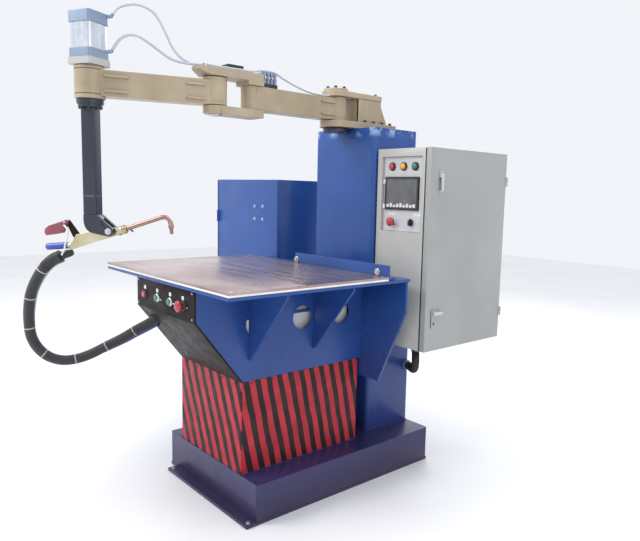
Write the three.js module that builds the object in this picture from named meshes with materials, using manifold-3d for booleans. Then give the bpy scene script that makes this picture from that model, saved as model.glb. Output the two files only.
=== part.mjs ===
// Platform spot welding machine: a copper work table on a pedestal, a column with a two-link
// swing arm, and a suspended welding gun on a pneumatic ram.
// Millimetres, +Z up. The operator stands at -Y, the control cabinet is on the +X side, and the
// origin is the centre of the plinth on the floor.
import * as THREE from 'three';
import { mergeVertices } from 'three/addons/utils/BufferGeometryUtils.js';
import Module from 'manifold-3d';

const wasm = await Module();
wasm.setup();

// ---------- driving dimensions ----------
const GAP = 0.3; // between pieces that touch

const BASE = { width: 640, length: 886, height: 144, plate: 12, toe: 41, toeInset: 52, wall: 8 };
const PEDESTAL = { half: 219, front: -443, rear: 107, top: 484, wall: 6 };
const CONSOLE = { front: -621, fold: 713, top: 823.7, rear: 124, wall: 6 };
const WALL_HOLE = { radius: 45, z: 686, y: [-380, -178, 12] };
const GUSSET = { y: [-410, -123], reach: 440, foot: 561, thick: 8 };
const TABLE = { half: 459, front: -639, copperRear: 29, bedRear: 143, bed: 11, board: 6.4, copper: 8 };
const BED_BOTTOM = 824;
const COLUMN = { x0: -180, x1: 193, y0: 194, y1: 449, top: 1414, wall: 6, corner: 18 };
const HOUSING = { x0: -960, x1: -404, y0: 150, y1: 470, z0: 60, z1: 1202, wall: 4 };
const TRUNK = { y0: 250, y1: 370, z0: 180, z1: 320 }; // joins the housing to the column
const CABINET = { x0: 205, x1: 459, y0: 205, y1: 690, z0: 547, z1: 1325, wall: 4 };
const DOOR = { x0: 461, x1: 485, wall: 3 };
const WINDOW = { x0: 229, x1: 441, z0: 1003, z1: 1294, depth: 15 };

const LAMPS = { x: [276, 337, 397], z: 1256 };
const STOP = { x: 288, z: 1040 };
const SELECTOR = { x: 386, z: 1041 };
const HINGE = { x: 485, y: 690, z: [660, 1211], half: 18, radius: 7 };

const PIVOT = { x: 15, y: 138 };
const LINK_1 = 566;
const LINK_2 = 409;
const LINK_2_AZIMUTH = THREE.MathUtils.degToRad(-109.4);
const GUN_AZIMUTH = THREE.MathUtils.degToRad(40);
const CYLINDER_AZIMUTH = THREE.MathUtils.degToRad(27);
const ARM = { z0: 1443, z1: 1527, half: 37, hubTop: 1537, hub: 44 };
const FORK = { lower: 1413, thick: 28, upper: 1541, half: 45, rear: -250 };
const PIN = 18;
const HEAD_HUB = { radius: 48, bore: 40.5, z0: 1433, z1: 1535 };
const CYLINDER = { side: 90, radius: 41, bore: 37, z0: 1561, cap: 29, z1: 1707, topCap: 37 };
const RAM = { side: 46, wall: 4, top: 1500, bottom: 1056 };
const GUN_PIVOT = { s: 65, z: 1001 }; // in the gun's own upright plane
const GUN_TILT = THREE.MathUtils.degToRad(19);

const ELBOW = { x: PIVOT.x + 1, y: PIVOT.y - LINK_1 };
const HEAD = {
  x: ELBOW.x + LINK_2 * Math.cos(LINK_2_AZIMUTH),
  y: ELBOW.y + LINK_2 * Math.sin(LINK_2_AZIMUTH),
};

// ---------- shape helpers ----------
function toManifold(geometry) {
  const bare = geometry.clone();
  bare.deleteAttribute('normal');
  bare.deleteAttribute('uv');
  const merged = mergeVertices(bare, 1e-4);
  return new wasm.Manifold(new wasm.Mesh({
    numProp: 3,
    vertProperties: merged.attributes.position.array,
    triVerts: merged.index.array,
  }));
}

function toGeometry(manifold) {
  const mesh = manifold.getMesh();
  const geometry = new THREE.BufferGeometry();
  geometry.setAttribute('position', new THREE.BufferAttribute(mesh.vertProperties, 3));
  geometry.setIndex(new THREE.BufferAttribute(mesh.triVerts, 1));
  return geometry;
}

const join = (first, ...rest) =>
  toGeometry(rest.reduce((sum, one) => sum.add(toManifold(one)), toManifold(first)));

const cut = (body, ...tools) =>
  toGeometry(tools.reduce((left, tool) => left.subtract(toManifold(tool)), toManifold(body)));

function block(x0, x1, y0, y1, z0, z1) {
  const box = new THREE.BoxGeometry(x1 - x0, y1 - y0, z1 - z0);
  return box.translate((x0 + x1) / 2, (y0 + y1) / 2, (z0 + z1) / 2);
}

// Round bar along an axis, from one coordinate to another, centred on the other two.
function bar(axis, radius, from, to, [a, b], sides = 20) {
  const rod = new THREE.CylinderGeometry(radius, radius, to - from, sides);
  const middle = (from + to) / 2;
  if (axis === 'x') return rod.rotateZ(Math.PI / 2).translate(middle, a, b);
  if (axis === 'y') return rod.translate(a, middle, b);
  return rod.rotateX(Math.PI / 2).translate(a, b, middle);
}

// Outline extruded along an axis. The outline is in (y, z) for x, (x, z) for y, (x, y) for z.
function prism(axis, outline, from, to) {
  const shape = outline instanceof THREE.Shape ? outline
    : new THREE.Shape(outline.map(([a, b]) => new THREE.Vector2(a, b)));
  const depth = to - from;
  const body = new THREE.ExtrudeGeometry(shape, { depth, bevelEnabled: false, curveSegments: 8 });
  const turn = new THREE.Matrix4();
  if (axis === 'x') turn.set(0, 0, 1, from, 1, 0, 0, 0, 0, 1, 0, 0, 0, 0, 0, 1);
  if (axis === 'y') turn.set(1, 0, 0, 0, 0, 0, -1, to, 0, 1, 0, 0, 0, 0, 0, 1);
  if (axis === 'z') turn.makeTranslation(0, 0, from);
  return body.applyMatrix4(turn);
}

function roundedRectangle(x0, x1, y0, y1, radius) {
  const shape = new THREE.Shape();
  shape.moveTo(x0 + radius, y0);
  shape.lineTo(x1 - radius, y0);
  shape.absarc(x1 - radius, y0 + radius, radius, -Math.PI / 2, 0);
  shape.lineTo(x1, y1 - radius);
  shape.absarc(x1 - radius, y1 - radius, radius, 0, Math.PI / 2);
  shape.lineTo(x0 + radius, y1);
  shape.absarc(x0 + radius, y1 - radius, radius, Math.PI / 2, Math.PI);
  shape.lineTo(x0, y0 + radius);
  shape.absarc(x0 + radius, y0 + radius, radius, Math.PI, Math.PI * 1.5);
  return shape;
}

// Long plate with a round nose about (cx, cy) that points along -Y and a square rear end.
function nosePlate(cx, cy, noseRadius, half, rear, flareTo = cy) {
  const shape = new THREE.Shape();
  shape.moveTo(cx + half, rear);
  shape.lineTo(cx - half, rear);
  shape.lineTo(cx - half, flareTo);
  shape.lineTo(cx - noseRadius, cy);
  shape.absarc(cx, cy, noseRadius, Math.PI, 2 * Math.PI);
  shape.lineTo(cx + half, flareTo);
  return shape;
}

const circle = (radius, sides) => {
  const turn = (2 * Math.PI) / sides;
  const points = Array.from({ length: sides }, (_, i) =>
    new THREE.Vector2(radius * Math.cos(i * turn), radius * Math.sin(i * turn)));
  return new THREE.Shape(points);
};

const curveThrough = (points) =>
  new THREE.CatmullRomCurve3(points.map((p) => new THREE.Vector3(...p)), false, 'centripetal');

const tube = (curve, radius, sides, steps) =>
  new THREE.ExtrudeGeometry(circle(radius, sides), { steps, bevelEnabled: false, extrudePath: curve });

// ---------- materials ----------
const finish = (color, roughness, metalness) =>
  new THREE.MeshStandardMaterial({ color, roughness, metalness });
const BLUE = () => finish(0x2f5ba8, 0.3, 0.0);
const GOLD = () => finish(0xc8b898, 0.4, 0.2);
const BEIGE = () => finish(0xcdc8c0, 0.5, 0.0);
const BLACK = () => finish(0x3a3438, 0.5, 0.0);
const STEEL = () => finish(0xa8acb0, 0.35, 0.9);
const COPPER = () => finish(0xb8775a, 0.3, 0.9);
const RED = () => finish(0xc83040, 0.4, 0.0);

const machine = new THREE.Group();

function add(name, geometry, material, parent = machine) {
  const mesh = new THREE.Mesh(geometry, material);
  mesh.name = name;
  parent.add(mesh);
  return mesh;
}

function groupAt(x, y, azimuth, parent = machine) {
  const group = new THREE.Group();
  group.position.set(x, y, 0);
  group.rotation.z = azimuth;
  parent.add(group);
  return group;
}

// ---------- plinth and pedestal ----------
function buildBase() {
  const x = BASE.width / 2;
  const y = BASE.length / 2;
  const toe = block(-x + BASE.toeInset, x, -y - BASE.toe, -y + 1, 0, BASE.plate);
  add('base_plate', join(block(-x, x, -y, y, 0, BASE.plate), toe), BLUE());
  const outer = prism('z', roundedRectangle(-x + 1, x - 1, -y + 1, y - 1, 8), BASE.plate + GAP, BASE.height);
  const hollow = block(-x + BASE.wall, x - BASE.wall, -y + BASE.wall, y - BASE.wall, 0, BASE.height - BASE.wall);
  add('plinth', cut(outer, hollow), BLUE());
}

function buildPedestal() {
  const { half, front, rear, top, wall } = PEDESTAL;
  const z0 = BASE.height + GAP;
  const z1 = top - GAP;
  const skin = 5;
  const inner = half - skin - GAP;
  const frame = block(-inner, inner, front + skin + GAP, rear, z0, z1);
  const room = block(-inner + wall, inner - wall, front + skin + wall, rear - wall, 0, top + 10);
  add('pedestal_frame', cut(frame, room), BLUE());
  add('front_stripe_cover', block(-half, half, front, front + skin, z0, z1), RED());
  add('right_stripe_cover', block(half - skin, half, front + skin + GAP, rear, z0, z1), RED());
  add('left_stripe_cover', block(-half, -half + skin, front + skin + GAP, rear, z0, z1), RED());
}

// ---------- console under the table ----------
const SLANT = Math.atan2(CONSOLE.fold - PEDESTAL.top, PEDESTAL.front - CONSOLE.front);

function consoleSide(side) {
  const { half } = PEDESTAL;
  const { front, fold, top, rear, wall } = CONSOLE;
  const z0 = PEDESTAL.top;
  const y0 = front + wall + GAP;
  const shift = wall / Math.sin(SLANT) + GAP;
  const y1 = rear - GAP;
  const outline = [[y0, top], [y0, fold + 2.5], [PEDESTAL.front + shift + GAP, z0], [y1, z0], [y1, top]];
  const sheet = prism('x', outline, half - wall, half);
  const gussets = GUSSET.y.map((y) => prism('y', [
    [half - 1, top], [half - 1, GUSSET.foot], [half + 8, GUSSET.foot],
    [GUSSET.reach, top - 14], [GUSSET.reach, top],
  ], y - GUSSET.thick / 2, y + GUSSET.thick / 2));
  const holes = WALL_HOLE.y.map((y) => bar('x', WALL_HOLE.radius, half - 20, half + 0.9, [y, WALL_HOLE.z], 24));
  const body = join(cut(sheet, ...holes), ...gussets);
  return side > 0 ? body : toGeometry(toManifold(body).mirror([1, 0, 0]));
}

// ---------- cable and hose routes ----------
// Points chosen by hand: from the gun's rear ferrule, round the free loop, into the console.
const WELD_CABLE = [
  [-213, -892, 910], [-231, -914, 896], [-253, -939, 865], [-274, -957, 825], [-293, -971, 774],
  [-307, -975, 722], [-317, -974, 679], [-325, -966, 617], [-322, -945, 571], [-312, -913, 538],
  [-297, -874, 522], [-281, -830, 523], [-265, -784, 537], [-246, -730, 564], [-227, -684, 588],
  [-204, -639, 618], [-180, -597, 645], [-160, -566, 668],
];
const WELD_CABLE_RADIUS = 18;
const CABLE_ENTRY = { x: -172, y: -583, z: 654, hole: 22 };

// A thin line tied along the cable: it starts on the inside of the loop and ends on its outside.
function besideCable(distance, startTurn, endTurn, from, to) {
  const cable = curveThrough(WELD_CABLE);
  const centre = new THREE.Vector3(-250, -800, 720);
  const count = 20;
  const points = [];
  for (let i = 0; i <= count; i += 1) {
    const share = i / count;
    const t = from + (to - from) * share;
    const point = cable.getPointAt(t);
    const along = cable.getTangentAt(t);
    const inward = centre.clone().sub(point);
    inward.addScaledVector(along, -inward.dot(along)).normalize();
    const across = new THREE.Vector3().crossVectors(along, inward);
    const turn = startTurn + (endTurn - startTurn) * share;
    point.addScaledVector(inward, distance * Math.cos(turn));
    point.addScaledVector(across, distance * Math.sin(turn));
    points.push(point);
  }
  return new THREE.CatmullRomCurve3(points, false, 'centripetal');
}

const weldCable = curveThrough(WELD_CABLE);
const waterHose = besideCable(26.5, -0.9, -2.9, 0, 0.975);
const triggerLead = besideCable(22.5, 0, -2.2, 0, 0.975);

// Drill along the end of a route, through the slanted panel.
function routeDrill(curve, radius) {
  const end = curve.getPointAt(1);
  const along = curve.getTangentAt(1);
  const drill = new THREE.CylinderGeometry(radius, radius, 140, 16);
  const aim = new THREE.Quaternion().setFromUnitVectors(new THREE.Vector3(0, 1, 0), along);
  return drill.applyQuaternion(aim).translate(end.x, end.y, end.z);
}

const BUTTONS = { z: 763, x: [-151, -50, 49, 141], radius: 11, ring: 14.5 };

function buildConsole() {
  const { half } = PEDESTAL;
  const { front, fold, top, rear, wall } = CONSOLE;
  add('console_side_right', consoleSide(1), BLUE());
  add('console_side_left', consoleSide(-1), BLUE());

  const shift = wall / Math.sin(SLANT);
  const panel = prism('x', [
    [front, top], [front, fold], [PEDESTAL.front, PEDESTAL.top],
    [PEDESTAL.front + shift, PEDESTAL.top], [front + wall, fold + 2], [front + wall, top],
  ], -half, half);
  const rings = BUTTONS.x.map((x) => bar('y', BUTTONS.ring, front - 5, front + 1, [x, BUTTONS.z], 24));
  const bores = BUTTONS.x.map((x) => bar('y', BUTTONS.radius + GAP, front - 9, front + 20, [x, BUTTONS.z]));
  add('console_front_panel', cut(
    join(panel, ...rings), ...bores,
    routeDrill(weldCable, CABLE_ENTRY.hole), routeDrill(waterHose, 8.5), routeDrill(triggerLead, 4.5),
  ), BLACK());

  const wing = GUSSET.reach + 17;
  add('rear_support_plate', prism('y', [
    [-wing, top], [-wing, 705], [-320, 410], [320, 410], [wing, 705], [wing, top],
  ], rear, rear + 10), BLUE());
}

// ---------- table ----------
function buildTable() {
  const { half, front, copperRear, bedRear, bed, board, copper } = TABLE;
  const boardBottom = BED_BOTTOM + bed + GAP;
  const copperBottom = boardBottom + board + GAP;
  add('table_bed', block(-half, half, front, bedRear, BED_BOTTOM, BED_BOTTOM + bed), BLUE());
  add('table_insulation', block(-half + 0.5, half - 0.5, front + 0.5, copperRear - 1,
    boardBottom, boardBottom + board), finish(0xe8e4dc, 0.6, 0.0));
  add('copper_table', block(-half - 1, half, front - 1, copperRear, copperBottom, copperBottom + copper), COPPER());
  const railFoot = block(-105, 451, copperRear + 1, copperRear + 42, boardBottom, boardBottom + 8);
  const railBack = block(-105, 451, copperRear + 1, copperRear + 13, boardBottom, 890);
  add('table_stop_rail', join(railFoot, railBack), BLUE());
}

// ---------- column, housing and cabinet ----------
function buildColumn() {
  const { x0, x1, y0, y1, top, wall, corner } = COLUMN;
  const z0 = BASE.height + GAP;
  const outer = prism('z', roundedRectangle(x0, x1, y0, y1, corner), z0, top);
  const room = block(x0 + wall, x1 - wall, y0 + wall, y1 - wall, z0 - 10, top - 12);
  const cabinetRails = [CABINET.z0 + 80, CABINET.z1 - 120].map((z) =>
    block(x1 - 2, CABINET.x0 - GAP, y0 + 60, y1 - 40, z, z + 40));
  add('column', join(cut(outer, room), ...cabinetRails), BLUE());
}

function buildHousing() {
  const { x0, x1, y0, y1, z0, z1, wall } = HOUSING;
  const room = block(x0 + wall, x1 - wall, y0 + wall, y1 - wall, z0 + wall, z1 - wall);
  const vents = [0, 1, 2, 3, 4].map((i) =>
    block(x0 + 140, x1 - 140, y1 - 10, y1 + 10, z0 + 190 + 30 * i, z0 + 200 + 30 * i));
  const toe = block(x0 + 15, x1 - 15, y0 + 15, y1 - 15, 0, z0 + 1);
  const trunk = block(x1 - 1, COLUMN.x0 - GAP, TRUNK.y0, TRUNK.y1, TRUNK.z0, TRUNK.z1);
  add('cooler_housing', join(cut(block(x0, x1, y0, y1, z0, z1), room, ...vents), toe, trunk), BLUE());
}

function buildCabinet() {
  const { x0, x1, y0, y1, z0, z1, wall } = CABINET;
  const room = block(x0 + wall, x1 + 10, y0 + WINDOW.depth + 8, y1 - wall, z0 + wall, z1 - wall);
  const lower = block(x0 + wall, x1 + 10, y0 + wall, y1 - wall, z0 + wall, WINDOW.z0 - 30);
  const recess = block(WINDOW.x0, WINDOW.x1, y0 - 5, y0 + WINDOW.depth, WINDOW.z0, WINDOW.z1);
  const behind = block(WINDOW.x0 + 12, WINDOW.x1 - 12, y0, y0 + 60, WINDOW.z0 + 12, WINDOW.z1 - 12);
  const glandHole = bar('z', 18.5, z0 - 10, z0 + 20, [360, 300]);
  const hinges = HINGE.z.flatMap((z) => [
    bar('z', HINGE.radius, z - HINGE.half, z - GAP, [HINGE.x, HINGE.y], 16),
    block(x1 - wall, HINGE.x, y1 - 1.4, y1 + 4, z - HINGE.half, z - GAP),
  ]);
  const shell = cut(block(x0, x1, y0, y1, z0, z1), room, lower, recess, behind, glandHole);
  add('cabinet_shell', join(shell, ...hinges), BEIGE());

  const face = y0 + WINDOW.depth;
  const screen = { x0: 242, x1: 420, z0: 1087, z1: 1216 };
  const plate = block(WINDOW.x0 + 1, WINDOW.x1 - 1, face - 2.5 - GAP, face - GAP, WINDOW.z0 + 1, WINDOW.z1 - 1);
  const screenHole = block(screen.x0 - 0.5, screen.x1 + 0.5, face - 20, face + 5, screen.z0 - 0.5, screen.z1 + 0.5);
  const stopBore = bar('y', 10, face - 20, face + 5, [STOP.x, STOP.z]);
  const selectorBore = bar('y', 6.5, face - 20, face + 5, [SELECTOR.x, SELECTOR.z]);
  const lamps = LAMPS.x.map((x) => bar('y', 13, face - 17, face - 2, [x, LAMPS.z]));
  add('control_panel', cut(join(plate, ...lamps), screenHole, stopBore, selectorBore), BEIGE());
  const bezel = block(screen.x0, screen.x1, face - 9, face + 70, screen.z0, screen.z1);
  const glass = block(screen.x0 + 7, screen.x1 - 7, face - 12, face - 5, screen.z0 + 7, screen.z1 - 7);
  add('weld_controller', cut(bezel, glass), BLACK());
}

function buildConduit() {
  const { x1 } = COLUMN;
  const gland = [360, 300];
  const end = { y: 425, z: 398 };
  const route = curveThrough([
    [gland[0], gland[1], CABINET.z0 - 30], [355, 308, 478], [330, 335, 436], [290, 372, 408],
    [245, 405, 398], [x1 + 20, end.y, end.z],
  ]);
  const hose = tube(route, 16, 12, 14);
  const upper = join(
    bar('z', 18, CABINET.z0 - 34, CABINET.z0 + 14, gland),
    bar('z', 25, CABINET.z0 - 18, CABINET.z0 - GAP, gland, 6),
  );
  const lower = join(
    bar('x', 18, x1 + GAP, x1 + 24, [end.y, end.z]),
    bar('x', 25, x1 + GAP, x1 + 14, [end.y, end.z], 6),
  );
  add('cabinet_conduit', join(hose, upper, lower), BLACK());
}

// ---------- transformer and its output bar ----------
function buildTransformer() {
  const z0 = BASE.height + GAP;
  const core = block(-130, 130, -330, -90, z0, z0 + 250);
  const window1 = block(-75, -25, -400, 0, z0 + 50, z0 + 200);
  const window2 = block(25, 75, -400, 0, z0 + 50, z0 + 200);
  add('transformer_core', cut(core, window1, window2), STEEL());
  const coilOuter = prism('z', roundedRectangle(-73, 73, -378, -42, 20), z0 + 56, z0 + 194);
  const coilRoom = block(-25.5, 25.5, -330.5, -89.5, z0, z0 + 220);
  add('transformer_coil', cut(coilOuter, coilRoom), COPPER());
  const strap = prism('x', [
    [-70, z0 + 260], [-50, z0 + 260], [-50, BED_BOTTOM - 22], [80, BED_BOTTOM - 22],
    [80, BED_BOTTOM - GAP], [-70, BED_BOTTOM - GAP],
  ], -40, 40);
  add('output_bar', strap, COPPER());
}

// ---------- arm base on the column ----------
const LOWER_PLATE_TOP = FORK.upper - 100;

function buildArmBase() {
  const { x, y } = PIVOT;
  const plate = prism('z', nosePlate(x, y, 66, 80, 415, 232), COLUMN.top + GAP, LOWER_PLATE_TOP);

  const web = { half: 57, front: 213, top: FORK.upper - 4 - GAP, bottom: LOWER_PLATE_TOP - 1 };
  const profile = [
    [web.front, web.bottom], [382, web.bottom], [343, 1515], [343, web.top], [web.front, web.top],
  ];
  const body = prism('x', profile, x - web.half, x + web.half);
  const room = block(x - web.half + 12, x + web.half - 12, web.front + 12, 500, LOWER_PLATE_TOP, web.top + 5);
  add('arm_bracket', cut(join(plate, cut(body, room)), bar('z', PIN + 0.4, 1400, 1460, [x, y])), GOLD());

  const top = ARM.hubTop;
  const upper = join(
    prism('z', nosePlate(x, y, 60, 60, 344), top, top + 22),
    bar('z', 52, top + 21, top + 33, [x, y], 24),
  );
  add('arm_upper_plate', cut(upper, bar('z', PIN + 0.4, 1520, top + 26, [x, y])), GOLD());

  const flange = bar('z', 51, COLUMN.top - 18, COLUMN.top, [x, y], 24);
  const pin = join(flange, bar('z', PIN, COLUMN.top - 2, top + 24, [x, y]));
  add('pivot_pin', pin, BLACK());
}

// ---------- first arm link ----------
function buildLinkOne() {
  const { z0, z1, half, hub, hubTop } = ARM;
  const { x, y } = PIVOT;
  const noseY = -278;
  const beam = prism('z', nosePlate(x, noseY, half, half, y), z0, z1);
  const hubBody = bar('z', hub, z0 - 1, hubTop - 1, [x, y], 24);
  const pad = block(x - half, x + half, -310, FORK.rear, FORK.lower + FORK.thick - 2, z0 + 2);
  const forkPlate = prism('z', nosePlate(ELBOW.x, ELBOW.y, 42, FORK.half, FORK.rear),
    FORK.lower, FORK.lower + FORK.thick);
  const ribs = [z0 + 14, z1 - 22].map((z) => block(x - half - 6, x + half + 6, 30, 130, z, z + 8));
  const room = block(x - half + 6, x + half - 6, noseY, y - hub - 8, z0 + 6, z1 - 6);
  const vent = bar('z', 9, z0 - 10, z0 + 10, [x, -120]);
  add('arm_link_1', cut(
    join(beam, hubBody, pad, forkPlate, ...ribs), room, vent,
    bar('z', PIN + 0.4, 1400, 1600, [x, y]), bar('z', PIN + 0.4, 1400, 1470, [ELBOW.x, ELBOW.y]),
  ), GOLD());

  const lug = new THREE.Shape([
    [FORK.half, FORK.rear], [-FORK.half, FORK.rear], [-FORK.half, ELBOW.y - 40],
    [-24, ELBOW.y - 78], [24, ELBOW.y - 78], [FORK.half, ELBOW.y - 40],
  ].map(([a, b]) => new THREE.Vector2(ELBOW.x + a, b)));
  const upper = join(
    prism('z', lug, FORK.upper, FORK.upper + FORK.thick),
    block(ELBOW.x - FORK.half, ELBOW.x + FORK.half, -315, FORK.rear, z1 + GAP, FORK.upper + 1),
  );
  add('elbow_fork_upper', cut(upper, bar('z', PIN + 0.4, 1500, 1600, [ELBOW.x, ELBOW.y])), GOLD());
  add('elbow_pin', join(
    bar('z', PIN, FORK.lower - 6, FORK.upper + FORK.thick + 4, [ELBOW.x, ELBOW.y]),
    bar('z', 26, FORK.lower - 6, FORK.lower - GAP, [ELBOW.x, ELBOW.y]),
  ), STEEL());

  const fins = [0, 1, 2, 3].map((i) => block(-8, 60, -235.5 + 13 * i, -231.5 + 13 * i, z1 + 14, 1600));
  add('valve_block', cut(block(-6, 48, -243, -181, z1 + GAP, 1586), ...fins), BLACK());
  add('relay_box', block(-14, 34, -386, -320, FORK.upper + FORK.thick + GAP, 1592), BLACK());
}

// ---------- second arm link ----------
const linkTwo = groupAt(ELBOW.x, ELBOW.y, LINK_2_AZIMUTH);

function buildLinkTwo() {
  const { z0, z1 } = ARM;
  const half = 35;
  const { radius, bore, z0: hubBottom, z1: hubTop } = HEAD_HUB;
  const beam = block(0, LINK_2, -half, half, z0, z1);
  const elbowHub = bar('z', 42, z0 + GAP, FORK.upper - 3, [0, 0], 24);
  const headHub = bar('z', radius, hubBottom, hubTop, [LINK_2, 0], 28);
  const ribZ = [z0 + 12, z1 - 24];
  const ribs = ribZ.flatMap((z) => [
    block(10, 90, -half - 6, half + 6, z, z + 8),
    block(LINK_2 - 110, LINK_2 - 10, -half - 6, half + 6, z, z + 8),
  ]);
  const room = block(50, LINK_2 - radius - 8, -half + 6, half - 6, z0 + 6, z1 - 6);
  const vent = bar('z', 9, z0 - 10, z0 + 10, [LINK_2 / 2, 0]);
  add('arm_link_2', cut(
    join(beam, elbowHub, headHub, ...ribs), room, vent,
    bar('z', PIN + 0.4, 1400, 1600, [0, 0]), bar('z', bore, 1400, 1600, [LINK_2, 0], 24),
  ), GOLD(), linkTwo);
}

// ---------- swivelling head: cylinder and ram ----------
const gunFrame = groupAt(HEAD.x, HEAD.y, GUN_AZIMUTH);
const cylinderFrame = groupAt(HEAD.x, HEAD.y, CYLINDER_AZIMUTH);

function buildHead() {
  const { side, radius, bore, z0, cap, z1, topCap } = CYLINDER;
  const h = side / 2;
  const mountHalf = 48.5;
  const rodHole = bar('z', 13, 1400, z0 + 100, [0, 0]);
  const plate = block(-mountHalf, mountHalf, -mountHalf, mountHalf, 1539, z0 - GAP);
  const sleeve = bar('z', 40, HEAD_HUB.z0 + GAP, 1541, [0, 0], 24);
  const sleeveRoom = bar('z', 34, 1400, 1541.5, [0, 0], 24);
  add('cylinder_mount', cut(join(plate, sleeve), sleeveRoom, rodHole), GOLD(), cylinderFrame);

  const collar = join(bar('z', 43, HEAD_HUB.z0 - 16, HEAD_HUB.z0 - GAP, [0, 0], 24),
    bar('z', 39, HEAD_HUB.z0 - 27, HEAD_HUB.z0 - 15, [0, 0], 8));
  const slide = RAM.side / 2 + 0.5;
  add('guide_collar', cut(collar, block(-slide, slide, -slide, slide, 1390, 1450)), BLACK(), gunFrame);

  const capPaint = () => finish(0x7f90a8, 0.45, 0.3);
  const capBody = block(-h, h, -h, h, z0, z0 + cap);
  add('cylinder_lower_cap', cut(capBody, rodHole), capPaint(), cylinderFrame);
  const barrel = bar('z', radius, z0 + cap + GAP, z1 - topCap - GAP, [0, 0], 28);
  add('cylinder_barrel', cut(barrel, bar('z', bore, 1500, 1800, [0, 0], 28)), STEEL(), cylinderFrame);
  const ties = [[-1, -1], [1, -1], [1, 1], [-1, 1]].map(([a, b]) =>
    bar('z', 4.5, z0 + cap + GAP, z1 - topCap + 2, [a * 36, b * 36], 12));
  add('cylinder_top_cap', join(block(-h, h, -h, h, z1 - topCap, z1), ...ties), capPaint(), cylinderFrame);
}

function buildRam() {
  const h = RAM.side / 2;
  const pistonTop = CYLINDER.z1 - CYLINDER.topCap - 2;
  add('piston_rod', join(
    bar('z', CYLINDER.bore - 0.6, pistonTop - 22, pistonTop, [0, 0], 28),
    bar('z', 12, RAM.top + GAP, pistonTop - 20, [0, 0], 24),
  ), STEEL(), gunFrame);
  const body = block(-h, h, -h, h, RAM.bottom, RAM.top);
  const room = block(-h + RAM.wall, h - RAM.wall, -h + RAM.wall, h - RAM.wall, RAM.bottom - 5, RAM.top - 12);
  add('ram_bar', cut(body, room), BLACK(), gunFrame);

  const { s, z } = GUN_PIVOT;
  const boss = 17;
  const shape = new THREE.Shape();
  shape.moveTo(-h, RAM.bottom - GAP);
  shape.lineTo(-h, 1040);
  shape.bezierCurveTo(-h, 1016, -14, 1000, 6, 994);
  shape.lineTo(s - 4, z - boss);
  shape.absarc(s, z, boss, -Math.PI / 2, Math.PI / 3);
  shape.lineTo(h + 6, 1052);
  shape.lineTo(h, RAM.bottom - GAP);
  const foot = prism('y', shape, -h, h);
  const slot = prism('y', [[-60, 960], [-60, 1020], [10, 1030], [40, 1040], [100, 1050], [100, 960]], -9, 9);
  add('ram_foot', cut(foot, slot, bar('y', 6.4, -40, 40, [s, z])), BLACK(), gunFrame);
}

// ---------- welding gun, in the upright plane through the ram ----------
const gunPoint = (u, v) => [
  GUN_PIVOT.s + u * Math.cos(GUN_TILT) - v * Math.sin(GUN_TILT),
  GUN_PIVOT.z + u * Math.sin(GUN_TILT) + v * Math.cos(GUN_TILT),
];

// Round rod between two points of the gun's plane.
function rod(radius, [s0, z0], [s1, z1], sides = 16) {
  const from = new THREE.Vector3(s0, 0, z0);
  const span = new THREE.Vector3(s1, 0, z1).sub(from);
  const body = new THREE.CylinderGeometry(radius, radius, span.length(), sides);
  const aim = new THREE.Quaternion().setFromUnitVectors(new THREE.Vector3(0, 1, 0), span.clone().normalize());
  const middle = from.addScaledVector(span, 0.5);
  return body.applyQuaternion(aim).translate(middle.x, middle.y, middle.z);
}

const TRIGGER_AXIS = [-101, 1027];
const GRIP = { rear: [-172, 940], front: [-92, 948], tail: [-72, 952] };

function buildGun() {
  const zinc = finish(0xc9b878, 0.35, 0.7);
  const outline = [[-171, -17], [21, -19], [21, 8], [-81, 23], [-124, 26]].map(([u, v]) => gunPoint(u, v));
  const plate = prism('y', outline, -8, 8);
  const pin = bar('y', 6, -27, 27, [GUN_PIVOT.s, GUN_PIVOT.z], 20);
  add('gun_plate', join(plate, pin, rod(13, [-78, 925], [-117, 911.5])), zinc, gunFrame);

  const clamp = rod(15, gunPoint(21.5, -8), gunPoint(57, -8));
  const armBore = rod(7.8, gunPoint(31, -8), gunPoint(64, -8));
  add('electrode_clamp', cut(clamp, armBore), finish(0xc0a060, 0.3, 0.9), gunFrame);

  const bend = curveThrough([gunPoint(172, -9), gunPoint(188, -10), [261, 1052], [272, 1041], [277, 1022]]
    .map(([s, z]) => [s, 0, z]));
  add('electrode_arm', join(
    rod(7.5, gunPoint(31.5, -8), gunPoint(176, -9)),
    tube(bend, 7.2, 16, 9),
    rod(6, [276.6, 1025], [278, 998]),
  ), COPPER(), gunFrame);

  const [s, z] = TRIGGER_AXIS;
  const side = prism('y', [
    [-111, 1034], [-91, 1033], [-58, 990], [-44, 968], [-62, 955], [-83, 980],
  ], 8 + GAP, 12.5);
  add('switch_bracket', join(side, bar('y', 3.5, -9, 9, [s, z], 16)), BLACK(), gunFrame);
  const paddle = prism('y', [[-177, 1000], [-172, 978], [-108, 989], [-90, 1024], [-95, 1034], [-161, 1014]], -7, 7);
  add('trigger', cut(paddle, bar('y', 3.8, -20, 20, [s, z], 16)), RED(), gunFrame);

  const grip = join(rod(12, GRIP.rear, GRIP.front), rod(7.5, [-94, 947.8], GRIP.tail));
  const plateRoom = plate.clone().translate(-0.4, 0, 0);
  add('gun_grip', cut(grip, plateRoom), finish(0x3a6ab0, 0.5, 0.0), gunFrame);
}

// ---------- cabinet door, its lever and lock ----------
const HANDLE = { y: 261, z: 1222 };
const LOCK = { y: 251, z: 696 };

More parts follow.
